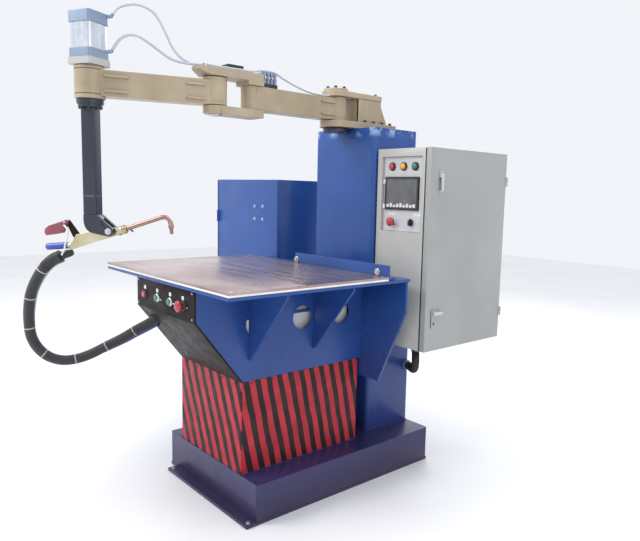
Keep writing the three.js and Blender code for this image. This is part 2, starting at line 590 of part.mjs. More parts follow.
function buildDoor() {
  const { x0, x1, wall } = DOOR;
  const { y0, z0, z1 } = CABINET;
  const yEnd = HINGE.y - 2.3;
  const pan = block(x0, x1, y0, yEnd, z0, z1);
  const room = block(x0 - 5, x1 - wall, y0 + wall, yEnd - wall, z0 + wall, z1 - wall);
  const barrels = HINGE.z.map((z) => bar('z', HINGE.radius, z, z + HINGE.half, [HINGE.x, HINGE.y], 16));
  const reliefs = HINGE.z.map((z) =>
    bar('z', HINGE.radius + 0.5, z - HINGE.half - 1, z, [HINGE.x, HINGE.y], 16));
  const spindles = [HANDLE, LOCK].map(({ y, z }) => bar('x', 5.4, x0, x1 + 5, [y, z], 20));
  const lockPlate = block(x1 - 1, x1 + 4, LOCK.y - 14, LOCK.y + 14, LOCK.z - 60, LOCK.z + 16);
  add('cabinet_door', cut(join(cut(pan, room), lockPlate, ...barrels), ...reliefs, ...spindles), BEIGE());

  const spindle = ({ y, z }) => [
    bar('x', 5, x0 + 8, x1 + 8, [y, z], 20), bar('x', 10, x0 + 8, x0 + 14, [y, z], 20),
  ];
  add('door_handle', join(
    bar('x', 11, x1 + GAP, x1 + 9, [HANDLE.y, HANDLE.z]), ...spindle(HANDLE),
    block(x1 + 4, x1 + 15, HANDLE.y - 6, HANDLE.y + 6, HANDLE.z - 59, HANDLE.z + 10),
  ), BLACK());
  add('door_lock', join(
    bar('x', 11, x1 + GAP + 4, x1 + 9, [LOCK.y, LOCK.z]), ...spindle(LOCK),
    block(x1 + 6, x1 + 17, LOCK.y - 10, LOCK.y + 43, LOCK.z - 8, LOCK.z + 8),
  ), BLACK());
}

// ---------- push buttons and selector ----------
function pushButton(name, x, capRadius, capFront, capRear, material) {
  const { z, radius } = BUTTONS;
  const { front } = CONSOLE;
  add(name, join(
    bar('y', radius, front - capFront + 1, front + 22, [x, z]),
    bar('y', 13.5, front + 16, front + 22, [x, z]),
    bar('y', capRadius, front - capFront, front - capRear, [x, z], 24),
  ), material);
}

function buildButtons() {
  const [a, b, c, d] = BUTTONS.x;
  const green = () => finish(0x2f9070, 0.4, 0.0);
  pushButton('button_red', a, 11, 11, 2, RED());
  pushButton('button_green_left', b, 11, 11, 2, green());
  pushButton('button_green_right', c, 11, 11, 2, green());
  pushButton('stop_mushroom', d, 20, 27, 13, RED());

  const face = CABINET.y0 + WINDOW.depth - GAP - 2.5;
  add('cabinet_stop_button', join(
    bar('y', 18, face - 28, face - 14, [STOP.x, STOP.z], 24),
    bar('y', 9.7, face - 15, face + 26, [STOP.x, STOP.z]),
    bar('y', 13, face + 18, face + 26, [STOP.x, STOP.z]),
  ), RED());
  add('selector_knob', join(
    bar('y', 14, face - 10, face - GAP, [SELECTOR.x, SELECTOR.z]),
    block(SELECTOR.x - 3.5, SELECTOR.x + 3.5, face - 20, face - 5, SELECTOR.z - 13, SELECTOR.z + 13),
    bar('y', 6, face - 5, face + 24, [SELECTOR.x, SELECTOR.z]),
  ), BLACK());
}

// ---------- air hoses from the cylinder to the fork plate ----------
const AIR_HOSE_UPPER = [
  [-95, -749, 1703], [-90, -728, 1733], [-80, -701, 1747], [-72, -677, 1752], [-61, -647, 1747],
  [-53, -623, 1734], [-46, -602, 1705], [-38, -581, 1662], [-32, -563, 1624], [-20, -534, 1592],
  [-7, -505, 1579], [6, -478, 1575],
];
const AIR_HOSE_LOWER = [
  [-95, -750, 1592], [-93, -741, 1608], [-88, -723, 1635], [-81, -702, 1650], [-70, -673, 1652],
  [-60, -643, 1637], [-47, -609, 1613], [-35, -576, 1591], [-22, -548, 1581], [-5, -523, 1576.5],
  [12, -502, 1575], [25, -478, 1575],
];

function buildCords() {
  const pale = () => finish(0xd8dce0, 0.3, 0.0);
  add('weld_cable', tube(weldCable, WELD_CABLE_RADIUS, 12, 26), BLACK());
  add('water_hose', tube(waterHose, 6, 8, 36), finish(0x2f6ab8, 0.4, 0.0));
  add('trigger_lead', tube(triggerLead, 2.5, 8, 36), pale());
  add('air_hose_upper', tube(curveThrough(AIR_HOSE_UPPER), 5, 8, 22), pale());
  add('air_hose_lower', tube(curveThrough(AIR_HOSE_LOWER), 5, 8, 18), pale());
}

buildBase();
buildPedestal();
buildConsole();
buildTable();
buildTransformer();
buildColumn();
buildHousing();
buildCabinet();
buildConduit();
buildDoor();
buildButtons();
buildArmBase();
buildLinkOne();
buildLinkTwo();
buildHead();
buildRam();
buildGun();
buildCords();

export default machine;
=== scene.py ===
"""Platform spot welding machine: the detailed look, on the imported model's frame."""
import math

import bmesh
import bpy
from mathutils import Matrix, Vector


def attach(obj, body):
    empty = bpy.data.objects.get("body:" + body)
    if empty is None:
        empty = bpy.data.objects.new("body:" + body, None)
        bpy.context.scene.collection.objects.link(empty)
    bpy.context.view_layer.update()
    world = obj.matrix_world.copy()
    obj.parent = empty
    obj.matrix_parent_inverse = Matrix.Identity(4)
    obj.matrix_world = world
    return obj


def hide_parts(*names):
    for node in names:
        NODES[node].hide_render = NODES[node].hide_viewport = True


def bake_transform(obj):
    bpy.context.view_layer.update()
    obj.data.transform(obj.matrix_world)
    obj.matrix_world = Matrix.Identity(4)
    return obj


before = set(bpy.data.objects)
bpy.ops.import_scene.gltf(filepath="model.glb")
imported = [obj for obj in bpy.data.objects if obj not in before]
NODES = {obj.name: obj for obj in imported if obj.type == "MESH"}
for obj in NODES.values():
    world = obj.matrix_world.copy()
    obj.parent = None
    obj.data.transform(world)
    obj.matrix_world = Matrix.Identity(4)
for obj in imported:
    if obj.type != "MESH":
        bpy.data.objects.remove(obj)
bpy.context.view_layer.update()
MM = 0.001


# ---------------------------------------------------------------- places (millimetres)
PIVOT = (15, 138)  # upright axes of the arm, on the column and at the elbow
ELBOW = (16, -428)
LINK_2 = 409  # length and heading of the second link, which ends at the head
AZ_2 = math.radians(-109.4)
HEAD = (ELBOW[0] + LINK_2 * math.cos(AZ_2), ELBOW[1] + LINK_2 * math.sin(AZ_2))
GUN_AZ = math.radians(40)  # headings of the gun and of the air cylinder
CYL_AZ = math.radians(27)
GUN_PIN = (65, 1001)  # the gun's pivot in its own upright plane, and the slope of its bar
TILT = math.radians(19)
WALL = 219  # outer face of the side walls of the pedestal and console
GUSSETS = (-410, -123)
WALL_HOLES, WALL_HOLE_Z, WALL_HOLE_R = (-380, -178, 12), 686, 45
PANEL = 621.0  # front face of the console panel, and its row of controls
BUTTONS = (("button_red", -151), ("button_green_left", -50), ("button_green_right", 49))
MUSHROOM_X, BUTTON_Z = 141, 763
SCREEN_FACE = -217.2  # front face of the cabinet's panel
HINGE = (485, 690)  # the cabinet door's hinge line
HANDLE, LOCK = (261, 1222), (251, 696)  # on the door, as (y, z)


def basis(origin, ex, ey):
    """The frame at origin whose local x and y run along ex and ey."""
    ex, ey = Vector(ex), Vector(ey)
    ez = ex.cross(ey)
    m = Matrix.Identity(4)
    for i in range(3):
        m[i][0], m[i][1], m[i][2], m[i][3] = ex[i], ey[i], ez[i], origin[i] * MM
    return m


UP = Matrix.Identity(4)
FRONT = basis((0, 0, 0), (1, 0, 0), (0, 0, 1))  # (x, z), thickness grows towards the operator
SIDE = basis((0, 0, 0), (0, 1, 0), (0, 0, 1))  # (y, z), thickness grows towards +X
LINK1 = basis((PIVOT[0], 0, 0), (0, -1, 0), (1, 0, 0))  # (towards the elbow, to the machine's right)
LINK2 = Matrix.Translation((ELBOW[0] * MM, ELBOW[1] * MM, 0)) @ Matrix.Rotation(AZ_2, 4, "Z")
HEAD_AT = Matrix.Translation((HEAD[0] * MM, HEAD[1] * MM, 0))
CYL = HEAD_AT @ Matrix.Rotation(CYL_AZ, 4, "Z")
GUN_UP = HEAD_AT @ Matrix.Rotation(GUN_AZ, 4, "Z")
FORWARD = Vector((math.cos(GUN_AZ), math.sin(GUN_AZ), 0))
GUN = basis((*HEAD, 0), FORWARD, (0, 0, 1))  # (forward, up), thickness grows towards the gun's near side
GUN_BACK = basis((*HEAD, 0), -FORWARD, (0, 0, 1))  # the same plane from its far side


def gun_point(u, v):
    """The place u along the gun's bar from its pivot and v above, in the gun's plane."""
    s, z = GUN_PIN
    return (s + u * math.cos(TILT) - v * math.sin(TILT), z + u * math.sin(TILT) + v * math.cos(TILT))


# ---------------------------------------------------------------- materials
def fill(tree, n, values):
    """Sets a node's inputs: another node's output is linked, None is left alone, and anything else is the value."""
    for key, value in values.items():
        if isinstance(value, bpy.types.NodeSocket):
            tree.links.new(value, n.inputs[key])
        elif value is not None:
            n.inputs[key].default_value = value


def node(tree, kind, *inputs, **settings):
    """A new node from its inputs in order, and from settings that name an input or else a property."""
    n = tree.nodes.new(kind)
    for key, value in settings.items():
        if key not in n.inputs:
            setattr(n, key, value)
    fill(tree, n, dict(enumerate(inputs)))
    fill(tree, n, {key: value for key, value in settings.items() if key in n.inputs})
    return n


def maths(tree, operation, *values):
    return node(tree, "ShaderNodeMath", *values, operation=operation).outputs[0]


def mixed(tree, factor, low, high):
    """The colour low where factor is 0 and high where it is 1."""
    numbers_and_vectors = [None] * 5
    return node(tree, "ShaderNodeMix", factor, *numbers_and_vectors, low, high, data_type="RGBA").outputs[2]


def shader(name):
    m = bpy.data.materials.new(name)
    m.use_nodes = True
    tree = m.node_tree
    place = node(tree, "ShaderNodeTexCoord").outputs["Object"]
    return m, tree, tree.nodes["Principled BSDF"], place


def noise(tree, place, scale, detail=3.0, stretch=None, rough=0.5):
    if stretch:
        place = node(tree, "ShaderNodeMapping", place, Scale=stretch).outputs["Vector"]
    return node(tree, "ShaderNodeTexNoise", place, Scale=scale, Detail=detail, Roughness=rough).outputs["Fac"]


def ramp(tree, fac, stops):
    r = node(tree, "ShaderNodeValToRGB", fac)
    while len(r.color_ramp.elements) < len(stops):
        r.color_ramp.elements.new(0.5)
    for element, (at, colour) in zip(r.color_ramp.elements, stops):
        element.position = at
        element.color = (*colour, 1)
    return r.outputs["Color"]


def spread(tree, fac, low, high):
    """A noise from about 0.3 to 0.7, mapped to low..high."""
    return node(tree, "ShaderNodeMapRange", fac, 0.3, 0.7, low, high).outputs["Result"]


def bump(tree, bsdf, height, strength, distance=0.001):
    """Adds a bump on top of those that the surface has."""
    below = bsdf.inputs["Normal"]
    under = below.links[0].from_socket if below.is_linked else None
    b = node(tree, "ShaderNodeBump", Strength=strength, Distance=distance, Height=height, Normal=under)
    tree.links.new(b.outputs["Normal"], below)


def surface(name, colours, rough, scale=4.0, metallic=0.0, coat=0.0, peel=0.06, peel_scale=90.0, stretch=None,
            grain=None, specular=None):
    """Colour that drifts over the surface, roughness that follows a finer noise, and a light bump."""
    m, tree, bsdf, place = shader(name)
    stops = [(0.3 + 0.4 * i / (len(colours) - 1), c) for i, c in enumerate(colours)]
    fill(tree, bsdf, {
        "Metallic": metallic, "Coat Weight": coat, "Coat Roughness": 0.08, "Specular IOR Level": specular,
        "Base Color": ramp(tree, noise(tree, place, scale, 4.0, stretch), stops),
        "Roughness": spread(tree, noise(tree, place, scale * 6, 3.0, stretch), *rough),
    })
    bump(tree, bsdf, noise(tree, place, peel_scale, 2.0), peel)
    if grain:
        strength, grain_scale, direction = grain
        bump(tree, bsdf, noise(tree, place, grain_scale, 2.0, direction), strength)
    return m


def tint(c, k):
    return tuple(min(1.0, x * k) for x in c)


def blue_enamel(name, shaded_low, sky_lit_high, top=0.9):
    """Brushed-on blue enamel, painted darker and more purple toward the floor as painted shade and bluer higher up as
    painted sky light, and rubbed pale along the column's top rim.
    """
    m, tree, bsdf, place = shader(name)
    clouds = noise(tree, place, 2.4, 6.0, None, 0.6)

    def shades(base):
        return ramp(tree, clouds, [(0.3, tint(base, 0.8)), (0.5, base), (0.7, tint(base, 1.2))])

    # painted light: the colour runs from a painted-shade tone at the floor to a painted sky-lit tone at the height
    # top
    z = node(tree, "ShaderNodeSeparateXYZ", place).outputs["Z"]
    height = node(tree, "ShaderNodeMapRange", z, 0.0, top, interpolation_type="SMOOTHSTEP").outputs["Result"]
    rim = node(tree, "ShaderNodeMapRange", z, 1.375, 1.412).outputs["Result"]
    patches = ramp(tree, noise(tree, place, 22.0, 6.0, (1, 1, 0.6), 0.6), [(0.50, (0, 0, 0)), (0.60, (1, 1, 1))])
    rubbed = (0.42, 0.60, 0.78, 1)
    enamel = mixed(tree, height, shades(shaded_low), shades(sky_lit_high))
    fill(tree, bsdf, {
        "Coat Weight": 0.12, "Coat Roughness": 0.15, "Specular IOR Level": 0.35,
        "Base Color": mixed(tree, maths(tree, "MULTIPLY", rim, patches), enamel, rubbed),
        "Roughness": spread(tree, noise(tree, place, 12.0), 0.24, 0.40),
    })
    bump(tree, bsdf, noise(tree, place, 90.0, 2.0), 0.05)
    bump(tree, bsdf, noise(tree, place, 30.0, 3.0, (1, 1, 0.12)), 0.05)
    return m


def gold_enamel():
    """Champagne-gold enamel over ground welds: faint brush drift, soft gloss."""
    m, tree, bsdf, place = shader("champagne_enamel")
    shades = [(0.3, (0.33, 0.26, 0.165)), (0.5, (0.40, 0.32, 0.21)), (0.7, (0.47, 0.39, 0.27))]
    fill(tree, bsdf, {
        "Coat Weight": 0.2, "Coat Roughness": 0.2,
        "Base Color": ramp(tree, noise(tree, place, 5.0, 5.0, None, 0.6), shades),
        "Roughness": spread(tree, noise(tree, place, 22.0), 0.28, 0.42),
    })
    bump(tree, bsdf, noise(tree, place, 110.0, 2.0), 0.08)
    bump(tree, bsdf, noise(tree, place, 16.0, 3.0, (1, 1, 0.3)), 0.12)
    return m


def copper_top():
    """Rolled copper plate: clouded tarnish under a soft polish, with faint strokes along its width."""
    m, tree, bsdf, place = shader("copper_table_top")
    strokes = noise(tree, place, 26.0, 3.0, (0.12, 1.2, 1))
    tarnish = [(0.30, (0.34, 0.235, 0.22)), (0.45, (0.45, 0.335, 0.32)), (0.57, (0.55, 0.44, 0.43)),
               (0.70, (0.64, 0.545, 0.54))]
    fill(tree, bsdf, {
        "Metallic": 0.85,
        "Base Color": ramp(tree, noise(tree, place, 2.2, 5.0, None, 0.55), tarnish),
        "Roughness": spread(tree, strokes, 0.22, 0.34),
    })
    bump(tree, bsdf, strokes, 0.03)
    bump(tree, bsdf, noise(tree, place, 4.0, 2.0), 0.08, 0.002)
    return m


def striped(name, direction, slant, phase=0.0, period=0.062):
    """Hand-painted slanted warning stripes, red over dark, with slightly wavering edges."""
    m, tree, bsdf, place = shader(name)
    parts = node(tree, "ShaderNodeSeparateXYZ", place)
    lean = maths(tree, "MULTIPLY_ADD", parts.outputs["Z"], slant, parts.outputs[direction])
    waver = maths(tree, "MULTIPLY_ADD", noise(tree, place, 9.0, 2.0), 0.012, lean)
    part = maths(tree, "FRACT", maths(tree, "MULTIPLY_ADD", waver, 1 / period, phase + 20))
    mask = ramp(tree, part, [(0.0, (0, 0, 0)), (0.02, (1, 1, 1)), (0.50, (1, 1, 1)), (0.53, (0, 0, 0))])
    red = ramp(tree, noise(tree, place, 14.0, 5.0), [(0.3, (0.36, 0.022, 0.034)), (0.7, (0.52, 0.04, 0.055))])
    dark = ramp(tree, noise(tree, place, 11.0, 5.0), [(0.3, (0.010, 0.009, 0.010)), (0.7, (0.038, 0.020, 0.020))])
    fill(tree, bsdf, {
        "Base Color": mixed(tree, mask, dark, red), "Specular IOR Level": 0.25,
        "Roughness": spread(tree, noise(tree, place, 30.0), 0.42, 0.62),
    })
    bump(tree, bsdf, mask, 0.25, 0.0006)
    bump(tree, bsdf, noise(tree, place, 160.0), 0.12)
    return m


def woven(name, colours, around, along):
    """Braided sleeve on a tube whose UV runs once round (u) and in tube radii along (v)."""
    m, tree, bsdf, place = shader(name)
    uv = node(tree, "ShaderNodeSeparateXYZ", node(tree, "ShaderNodeTexCoord").outputs["UV"]).outputs
    strands = []
    for sign in (1, -1):
        lead = maths(tree, "MULTIPLY_ADD", uv["Y"], along, maths(tree, "MULTIPLY", uv["X"], around * sign))
        strands.append(maths(tree, "SINE", maths(tree, "MULTIPLY", lead, 2 * math.pi)))
    top = maths(tree, "MAXIMUM", *strands)
    # the colour follows the strands' height: painted shade in the hollows between strands and a painted highlight on
    # their crests
    low, mid, high = colours
    fill(tree, bsdf, {
        "Base Color": ramp(tree, top, [(0.0, low), (0.6, mid), (1.0, high)]), "Sheen Weight": 0.25,
        "Roughness": spread(tree, noise(tree, place, 60.0), 0.5, 0.75),
    })
    bump(tree, bsdf, top, 0.5, 0.0008)
    return m


MATERIALS = {
    "blue": blue_enamel("blue_enamel", (0.026, 0.040, 0.165), (0.020, 0.075, 0.285)),
    # the plinth's enamel is a darker, more purple copy of the blue one: painted shade low on the machine
    "plinth_shaded_blue": blue_enamel("plinth_shaded_enamel", (0.034, 0.026, 0.075), (0.030, 0.034, 0.125), 0.25),
    "gold": gold_enamel(),
    "cream": surface("pale_grey_plate", [(0.4418, 0.4324, 0.4136), (0.47, 0.46, 0.44), (0.4982, 0.4876, 0.4664)],
                     (0.3, 0.4), 2.2, coat=0.2),
    "cabinet": surface("cabinet_powder_coat", [(0.43, 0.42, 0.395), (0.47, 0.46, 0.435), (0.51, 0.50, 0.47)],
                       (0.42, 0.55), 3.0, peel=0.12, peel_scale=420.0),
    # the door's coat is a darker copy of the cabinet's: painted shade for the door's side face
    "door": surface("door_shaded_powder_coat", [(0.33, 0.345, 0.335), (0.365, 0.38, 0.37), (0.40, 0.41, 0.395)],
                    (0.42, 0.55), 3.0, peel=0.12, peel_scale=420.0),
    "panel_face": surface("panel_overlay", [(0.52, 0.53, 0.54), (0.58, 0.59, 0.6), (0.63, 0.64, 0.65)],
                          (0.35, 0.45), 6.0, peel=0.05, peel_scale=300.0),
    "black": surface("black_enamel", [(0.014, 0.010, 0.010), (0.021, 0.016, 0.016), (0.030, 0.023, 0.023)],
                     (0.45, 0.62), 5.0, peel=0.1, specular=0.16),
    "ram": surface("ram_blue_black", [(0.014, 0.018, 0.030), (0.020, 0.026, 0.042), (0.028, 0.036, 0.056)],
                   (0.26, 0.38), 4.0, coat=0.15, peel=0.05, specular=0.5),
    "dark_plastic": surface("dark_plastic", [(0.018, 0.018, 0.02), (0.028, 0.028, 0.031), (0.038, 0.038, 0.042)],
                            (0.38, 0.52), 12.0, peel=0.18, peel_scale=600.0),
    "rubber": surface("black_rubber", [(0.012, 0.012, 0.013), (0.02, 0.02, 0.021), (0.03, 0.03, 0.03)],
                      (0.5, 0.7), 14.0, peel=0.2, peel_scale=500.0),
    "blue_rubber": surface("blue_rubber", [(0.02, 0.06, 0.30), (0.03, 0.085, 0.38), (0.045, 0.11, 0.45)],
                           (0.28, 0.45), 14.0, peel=0.12, peel_scale=400.0, coat=0.2),
    "hose": surface("pale_tube", [(0.40, 0.44, 0.52), (0.47, 0.51, 0.59), (0.55, 0.58, 0.65)], (0.2, 0.3), 5.0,
                    peel=0.02, coat=0.3),
    "steel": surface("bright_steel", [(0.52, 0.53, 0.55), (0.62, 0.63, 0.65), (0.7, 0.71, 0.73)], (0.2, 0.36), 9.0,
                     metallic=1.0, peel=0.05, peel_scale=300.0),
    "barrel": surface("polished_barrel", [(0.60, 0.63, 0.70), (0.68, 0.71, 0.77), (0.78, 0.8, 0.85)], (0.16, 0.28),
                      7.0, metallic=0.85, peel=0.03, grain=(0.12, 300.0, (1, 1, 0.04))),
    "cap": surface("blue_grey_alloy", [(0.20, 0.26, 0.37), (0.24, 0.31, 0.42), (0.29, 0.36, 0.47)], (0.34, 0.46),
                   8.0, metallic=0.35, peel=0.14, peel_scale=350.0),
    "zinc": surface("yellow_zinc", [(0.56, 0.50, 0.30), (0.66, 0.60, 0.38), (0.72, 0.68, 0.50)], (0.24, 0.42), 11.0,
                    metallic=0.85, peel=0.05, grain=(0.1, 240.0, (1, 1, 0.2))),
    "brass": surface("brass", [(0.36, 0.30, 0.17), (0.46, 0.40, 0.24), (0.56, 0.50, 0.34)], (0.26, 0.36), 9.0,
                     metallic=0.9, peel=0.02, peel_scale=60.0),
    "copper_tube": surface("electrode_copper", [(0.26, 0.15, 0.12), (0.38, 0.23, 0.19), (0.52, 0.36, 0.32)],
                           (0.26, 0.36), 9.0, metallic=0.9, peel=0.02, peel_scale=60.0),
    "label": surface("blank_label", [(0.70, 0.70, 0.69), (0.76, 0.76, 0.75), (0.82, 0.82, 0.81)], (0.4, 0.5), 30.0,
                     peel=0.03),
    "trigger_red": surface("worn_red_plastic", [(0.20, 0.045, 0.06), (0.27, 0.065, 0.085), (0.36, 0.11, 0.13)],
                           (0.3, 0.45), 12.0, coat=0.2, peel=0.05),
    "board": surface("insulation_board", [(0.78, 0.75, 0.68), (0.84, 0.82, 0.76), (0.88, 0.87, 0.82)], (0.5, 0.65),
                     20.0, peel=0.2, peel_scale=500.0),
    "screen": surface("smoked_screen", [(0.055, 0.06, 0.065), (0.10, 0.105, 0.11), (0.17, 0.175, 0.18)], (0.10, 0.18),
                      5.0, coat=0.6, peel=0.02, stretch=(2.4, 1, 1.0)),
    "copper_top": copper_top(),
    "stripe_front": striped("stripes_front", "X", 0.43, 0.25),
    "stripe_side": striped("stripes_side", "Y", 0.22, 0.15, 0.049),
    "stripe_left": striped("stripes_left", "Y", -0.22, 0.4, 0.049),
    "sleeve": woven("cable_sleeve", ((0.006, 0.006, 0.008), (0.02, 0.02, 0.023), (0.055, 0.055, 0.06)), 18, 2.4),
}
for key, colours in (("red_plastic", [(0.36, 0.018, 0.03), (0.44, 0.028, 0.04), (0.52, 0.045, 0.06)]),
                     ("pink_plastic", [(0.52, 0.04, 0.12), (0.62, 0.06, 0.16), (0.7, 0.1, 0.2)]),
                     ("green_plastic", [(0.02, 0.16, 0.12), (0.03, 0.22, 0.17), (0.05, 0.28, 0.22)])):
    MATERIALS[key] = surface(key, colours, (0.22, 0.36), 20.0, coat=0.3, peel_scale=400.0)
for key, colours in (("lens_red", [(0.42, 0.02, 0.05), (0.5, 0.03, 0.06), (0.6, 0.05, 0.08)]),
                     ("lens_amber", [(0.7, 0.3, 0.03), (0.8, 0.38, 0.04), (0.9, 0.48, 0.08)]),
                     ("lens_green", [(0.01, 0.10, 0.08), (0.015, 0.15, 0.12), (0.03, 0.2, 0.16)])):
    MATERIALS[key] = surface(key, colours, (0.1, 0.2), 40.0, coat=0.6, peel=0.02)


# ---------------------------------------------------------------- building blocks (millimetres)
def soften(obj, width, segments=3):
    """Rounds the edges of a piece."""
    mod = obj.modifiers.new("edge", "BEVEL")
    mod.width = width * MM
    mod.segments = segments
    mod.limit_method = "ANGLE"
    mod.angle_limit = math.radians(32)
    mod.harden_normals = True


def settle(obj, body, material, replaces=(), bevel=0.0, segments=3):
    """Gives a piece its surface and its body (a name; for a bend between two, its transform is only baked), and hides
    the CAD nodes it stands for.
    """
    obj.data.materials.clear()
    obj.data.materials.append(MATERIALS[material])
    obj.data.shade_smooth()
    if bevel:
        soften(obj, bevel, segments)
    else:
        obj.modifiers.new("crease", "EDGE_SPLIT").split_angle = math.radians(40)
    if isinstance(body, str):
        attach(obj, body)
    else:
        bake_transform(obj)
    if replaces:
        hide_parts(*replaces)


def from_bmesh(name, bm, place=UP):
    bmesh.ops.recalc_face_normals(bm, faces=bm.faces)
    mesh = bpy.data.meshes.new(name)
    bm.to_mesh(mesh)
    bm.free()
    obj = bpy.data.objects.new(name, mesh)
    bpy.context.scene.collection.objects.link(obj)
    obj.data.transform(place)
    return obj


def plate(name, outline, low, high, place=UP, holes=()):
    """A flat outline with round or shaped holes, from low to high along its local z."""
    bm = bmesh.new()
    edges = []
    for ring in (outline, *holes):
        vs = [bm.verts.new((x * MM, y * MM, low * MM)) for x, y in ring]
        if not holes:
            bm.faces.new(vs)
        else:
            edges += [bm.edges.new((vs[i], vs[(i + 1) % len(vs)])) for i in range(len(vs))]
    if holes:
        bmesh.ops.triangle_fill(bm, edges=edges, use_beauty=True)
    made = bmesh.ops.extrude_face_region(bm, geom=bm.faces[:])
    moved = [v for v in made["geom"] if isinstance(v, bmesh.types.BMVert)]
    bmesh.ops.translate(bm, verts=moved, vec=(0, 0, (high - low) * MM))
    return from_bmesh(name, bm, place)


def slab(name, x0, x1, y0, y1, z0, z1, place=UP):
    return plate(name, [(x0, y0), (x1, y0), (x1, y1), (x0, y1)], z0, z1, place)


def arc(cx, cy, r, start, end, steps=24):
    turn = [math.radians(start + (end - start) * i / steps) for i in range(steps + 1)]
    return [(cx + r * math.cos(t), cy + r * math.sin(t)) for t in turn]


def ring(cx, cy, r, steps=48):
    return arc(cx, cy, r, 0, 360 - 360 / steps, steps - 1)


def nose(cx, cy, r, half, rear, flare=None):
    """A plate's outline, square at the rear and round about (cx, cy); its sides are straight as far as flare."""
    flare = cy if flare is None else flare
    corner = [(cx + half, rear), (cx - half, rear), (cx - half, flare)]
    return corner + arc(cx, cy, r, 180, 360, 36) + [(cx + half, flare)]


def rounded(x0, x1, y0, y1, r, steps=6):
    return (arc(x1 - r, y1 - r, r, 0, 90, steps) + arc(x0 + r, y1 - r, r, 90, 180, steps)
            + arc(x0 + r, y0 + r, r, 180, 270, steps) + arc(x1 - r, y0 + r, r, 270, 360, steps))


def lathe(name, profile, place=UP, segments=48, at=(0, 0)):
    """Round piece from (radius, height) pairs, about a line along local z through at."""
    bm = bmesh.new()
    rings = []
    for r, z in profile:
        if r < 1e-6:
            rings.append([bm.verts.new((at[0] * MM, at[1] * MM, z * MM))])
            continue
        rings.append([bm.verts.new((x * MM, y * MM, z * MM)) for x, y in ring(*at, r, segments)])
    for a, b in zip(rings, rings[1:]):
        for k in range(segments):
            n = (k + 1) % segments
            face = [a[k % len(a)], a[n % len(a)], b[n % len(b)], b[k % len(b)]]
            face = [v for i, v in enumerate(face) if v not in face[:i]]
            if len(face) > 2:
                bm.faces.new(face)
    return from_bmesh(name, bm, place)


def lifted(profile, base):
    """A profile of (radius, height) pairs, standing on base."""
    return [(r, base + z) for r, z in profile]


def drum(name, r, low, high, place=UP, at=(0, 0), edge=1.5, segments=56):
    """Round boss with softened rims."""
    turns = [math.radians(a) for a in (0, 30, 60, 90)]
    soft = [(r - edge + edge * math.sin(t), edge * (1 - math.cos(t))) for t in turns]
    profile = [(0, low)] + [(a, low + b) for a, b in soft]
    profile += [(a, high - b) for a, b in reversed(soft)] + [(0, high)]
    return lathe(name, profile, place, segments, at)


def hex_bolt(name, at, place, body, r, high, base, material="steel", washer=True, socket=False):
    """Bolt head on a washer, standing from base along local z: hexagonal, or round for a socket screw."""
    bm = bmesh.new()
    lift = base + (1.2 if washer else 0)

    def prism(radius, low, top, n):
        loop = [[bm.verts.new((x * MM, y * MM, z * MM)) for x, y in ring(*at, radius, n)] for z in (low, top)]
        bm.faces.new(loop[0])
        bm.faces.new(loop[1])
        for k in range(n):
            bm.faces.new([loop[0][k], loop[0][(k + 1) % n], loop[1][(k + 1) % n], loop[1][k]])

    if washer:
        prism(r * 1.35, base, lift, 24)
    prism(r, lift, lift + high, 24 if socket else 6)
    settle(from_bmesh(name, bm, place), body, material, bevel=min(0.8, r * 0.12), segments=2)


def bolts(prefix, places, *sizes, **more):
    for i, at in enumerate(places):
        hex_bolt(f"{prefix}_{i}", at, *sizes, **more)


def block_piece(name, box, body, material, bevel, place=UP):
    settle(slab(name, *box, place), body, material, bevel=bevel)


def mirrored(sign, near, far):
    """The span from near to far, on the side that sign gives."""
    return sorted((sign * near, sign * far))


# ---------------------------------------------------------------- routes of cords
def spline_points(points, count):
    """Centripetal Catmull-Rom curve through the points, sampled evenly by length."""
    p = [Vector(q) for q in points]
    p = [p[0] * 2 - p[1]] + p + [p[-1] * 2 - p[-2]]
    dense = []
    for i in range(1, len(p) - 2):
        t = [0.0]
        for a, b in zip(p[i - 1:i + 3], p[i:i + 3]):
            t.append(t[-1] + math.sqrt((b - a).length))
        for k in range(16):
            u = t[1] + (t[2] - t[1]) * k / 16
            a = [(p[i - 1 + j] * (t[j + 1] - u) + p[i + j] * (u - t[j])) / (t[j + 1] - t[j]) for j in range(3)]
            b = [(a[j] * (t[j + 2] - u) + a[j + 1] * (u - t[j])) / (t[j + 2] - t[j]) for j in range(2)]
            dense.append((b[0] * (t[2] - u) + b[1] * (u - t[1])) / (t[2] - t[1]))
    dense.append(p[-2])
    lengths = [0.0]
    for a, b in zip(dense, dense[1:]):
        lengths.append(lengths[-1] + (b - a).length)
    out, j = [], 0
    for i in range(count + 1):
        want = lengths[-1] * i / count
        while j < len(lengths) - 2 and lengths[j + 1] < want:
            j += 1
        share = (want - lengths[j]) / max(1e-9, lengths[j + 1] - lengths[j])
        out.append(dense[j].lerp(dense[j + 1], min(1.0, share)))
    return out


# the joints that a cord crosses from the gun to the console, and the share of its path where each span ends
CABLE_JOINTS = [("ram", "head", 0.25), ("head", "link_2", 0.5), ("link_2", "link_1", 0.75), ("link_1", "frame", 1.0)]
LINE_JOINTS = [("gun", "ram", 0.09)] + CABLE_JOINTS


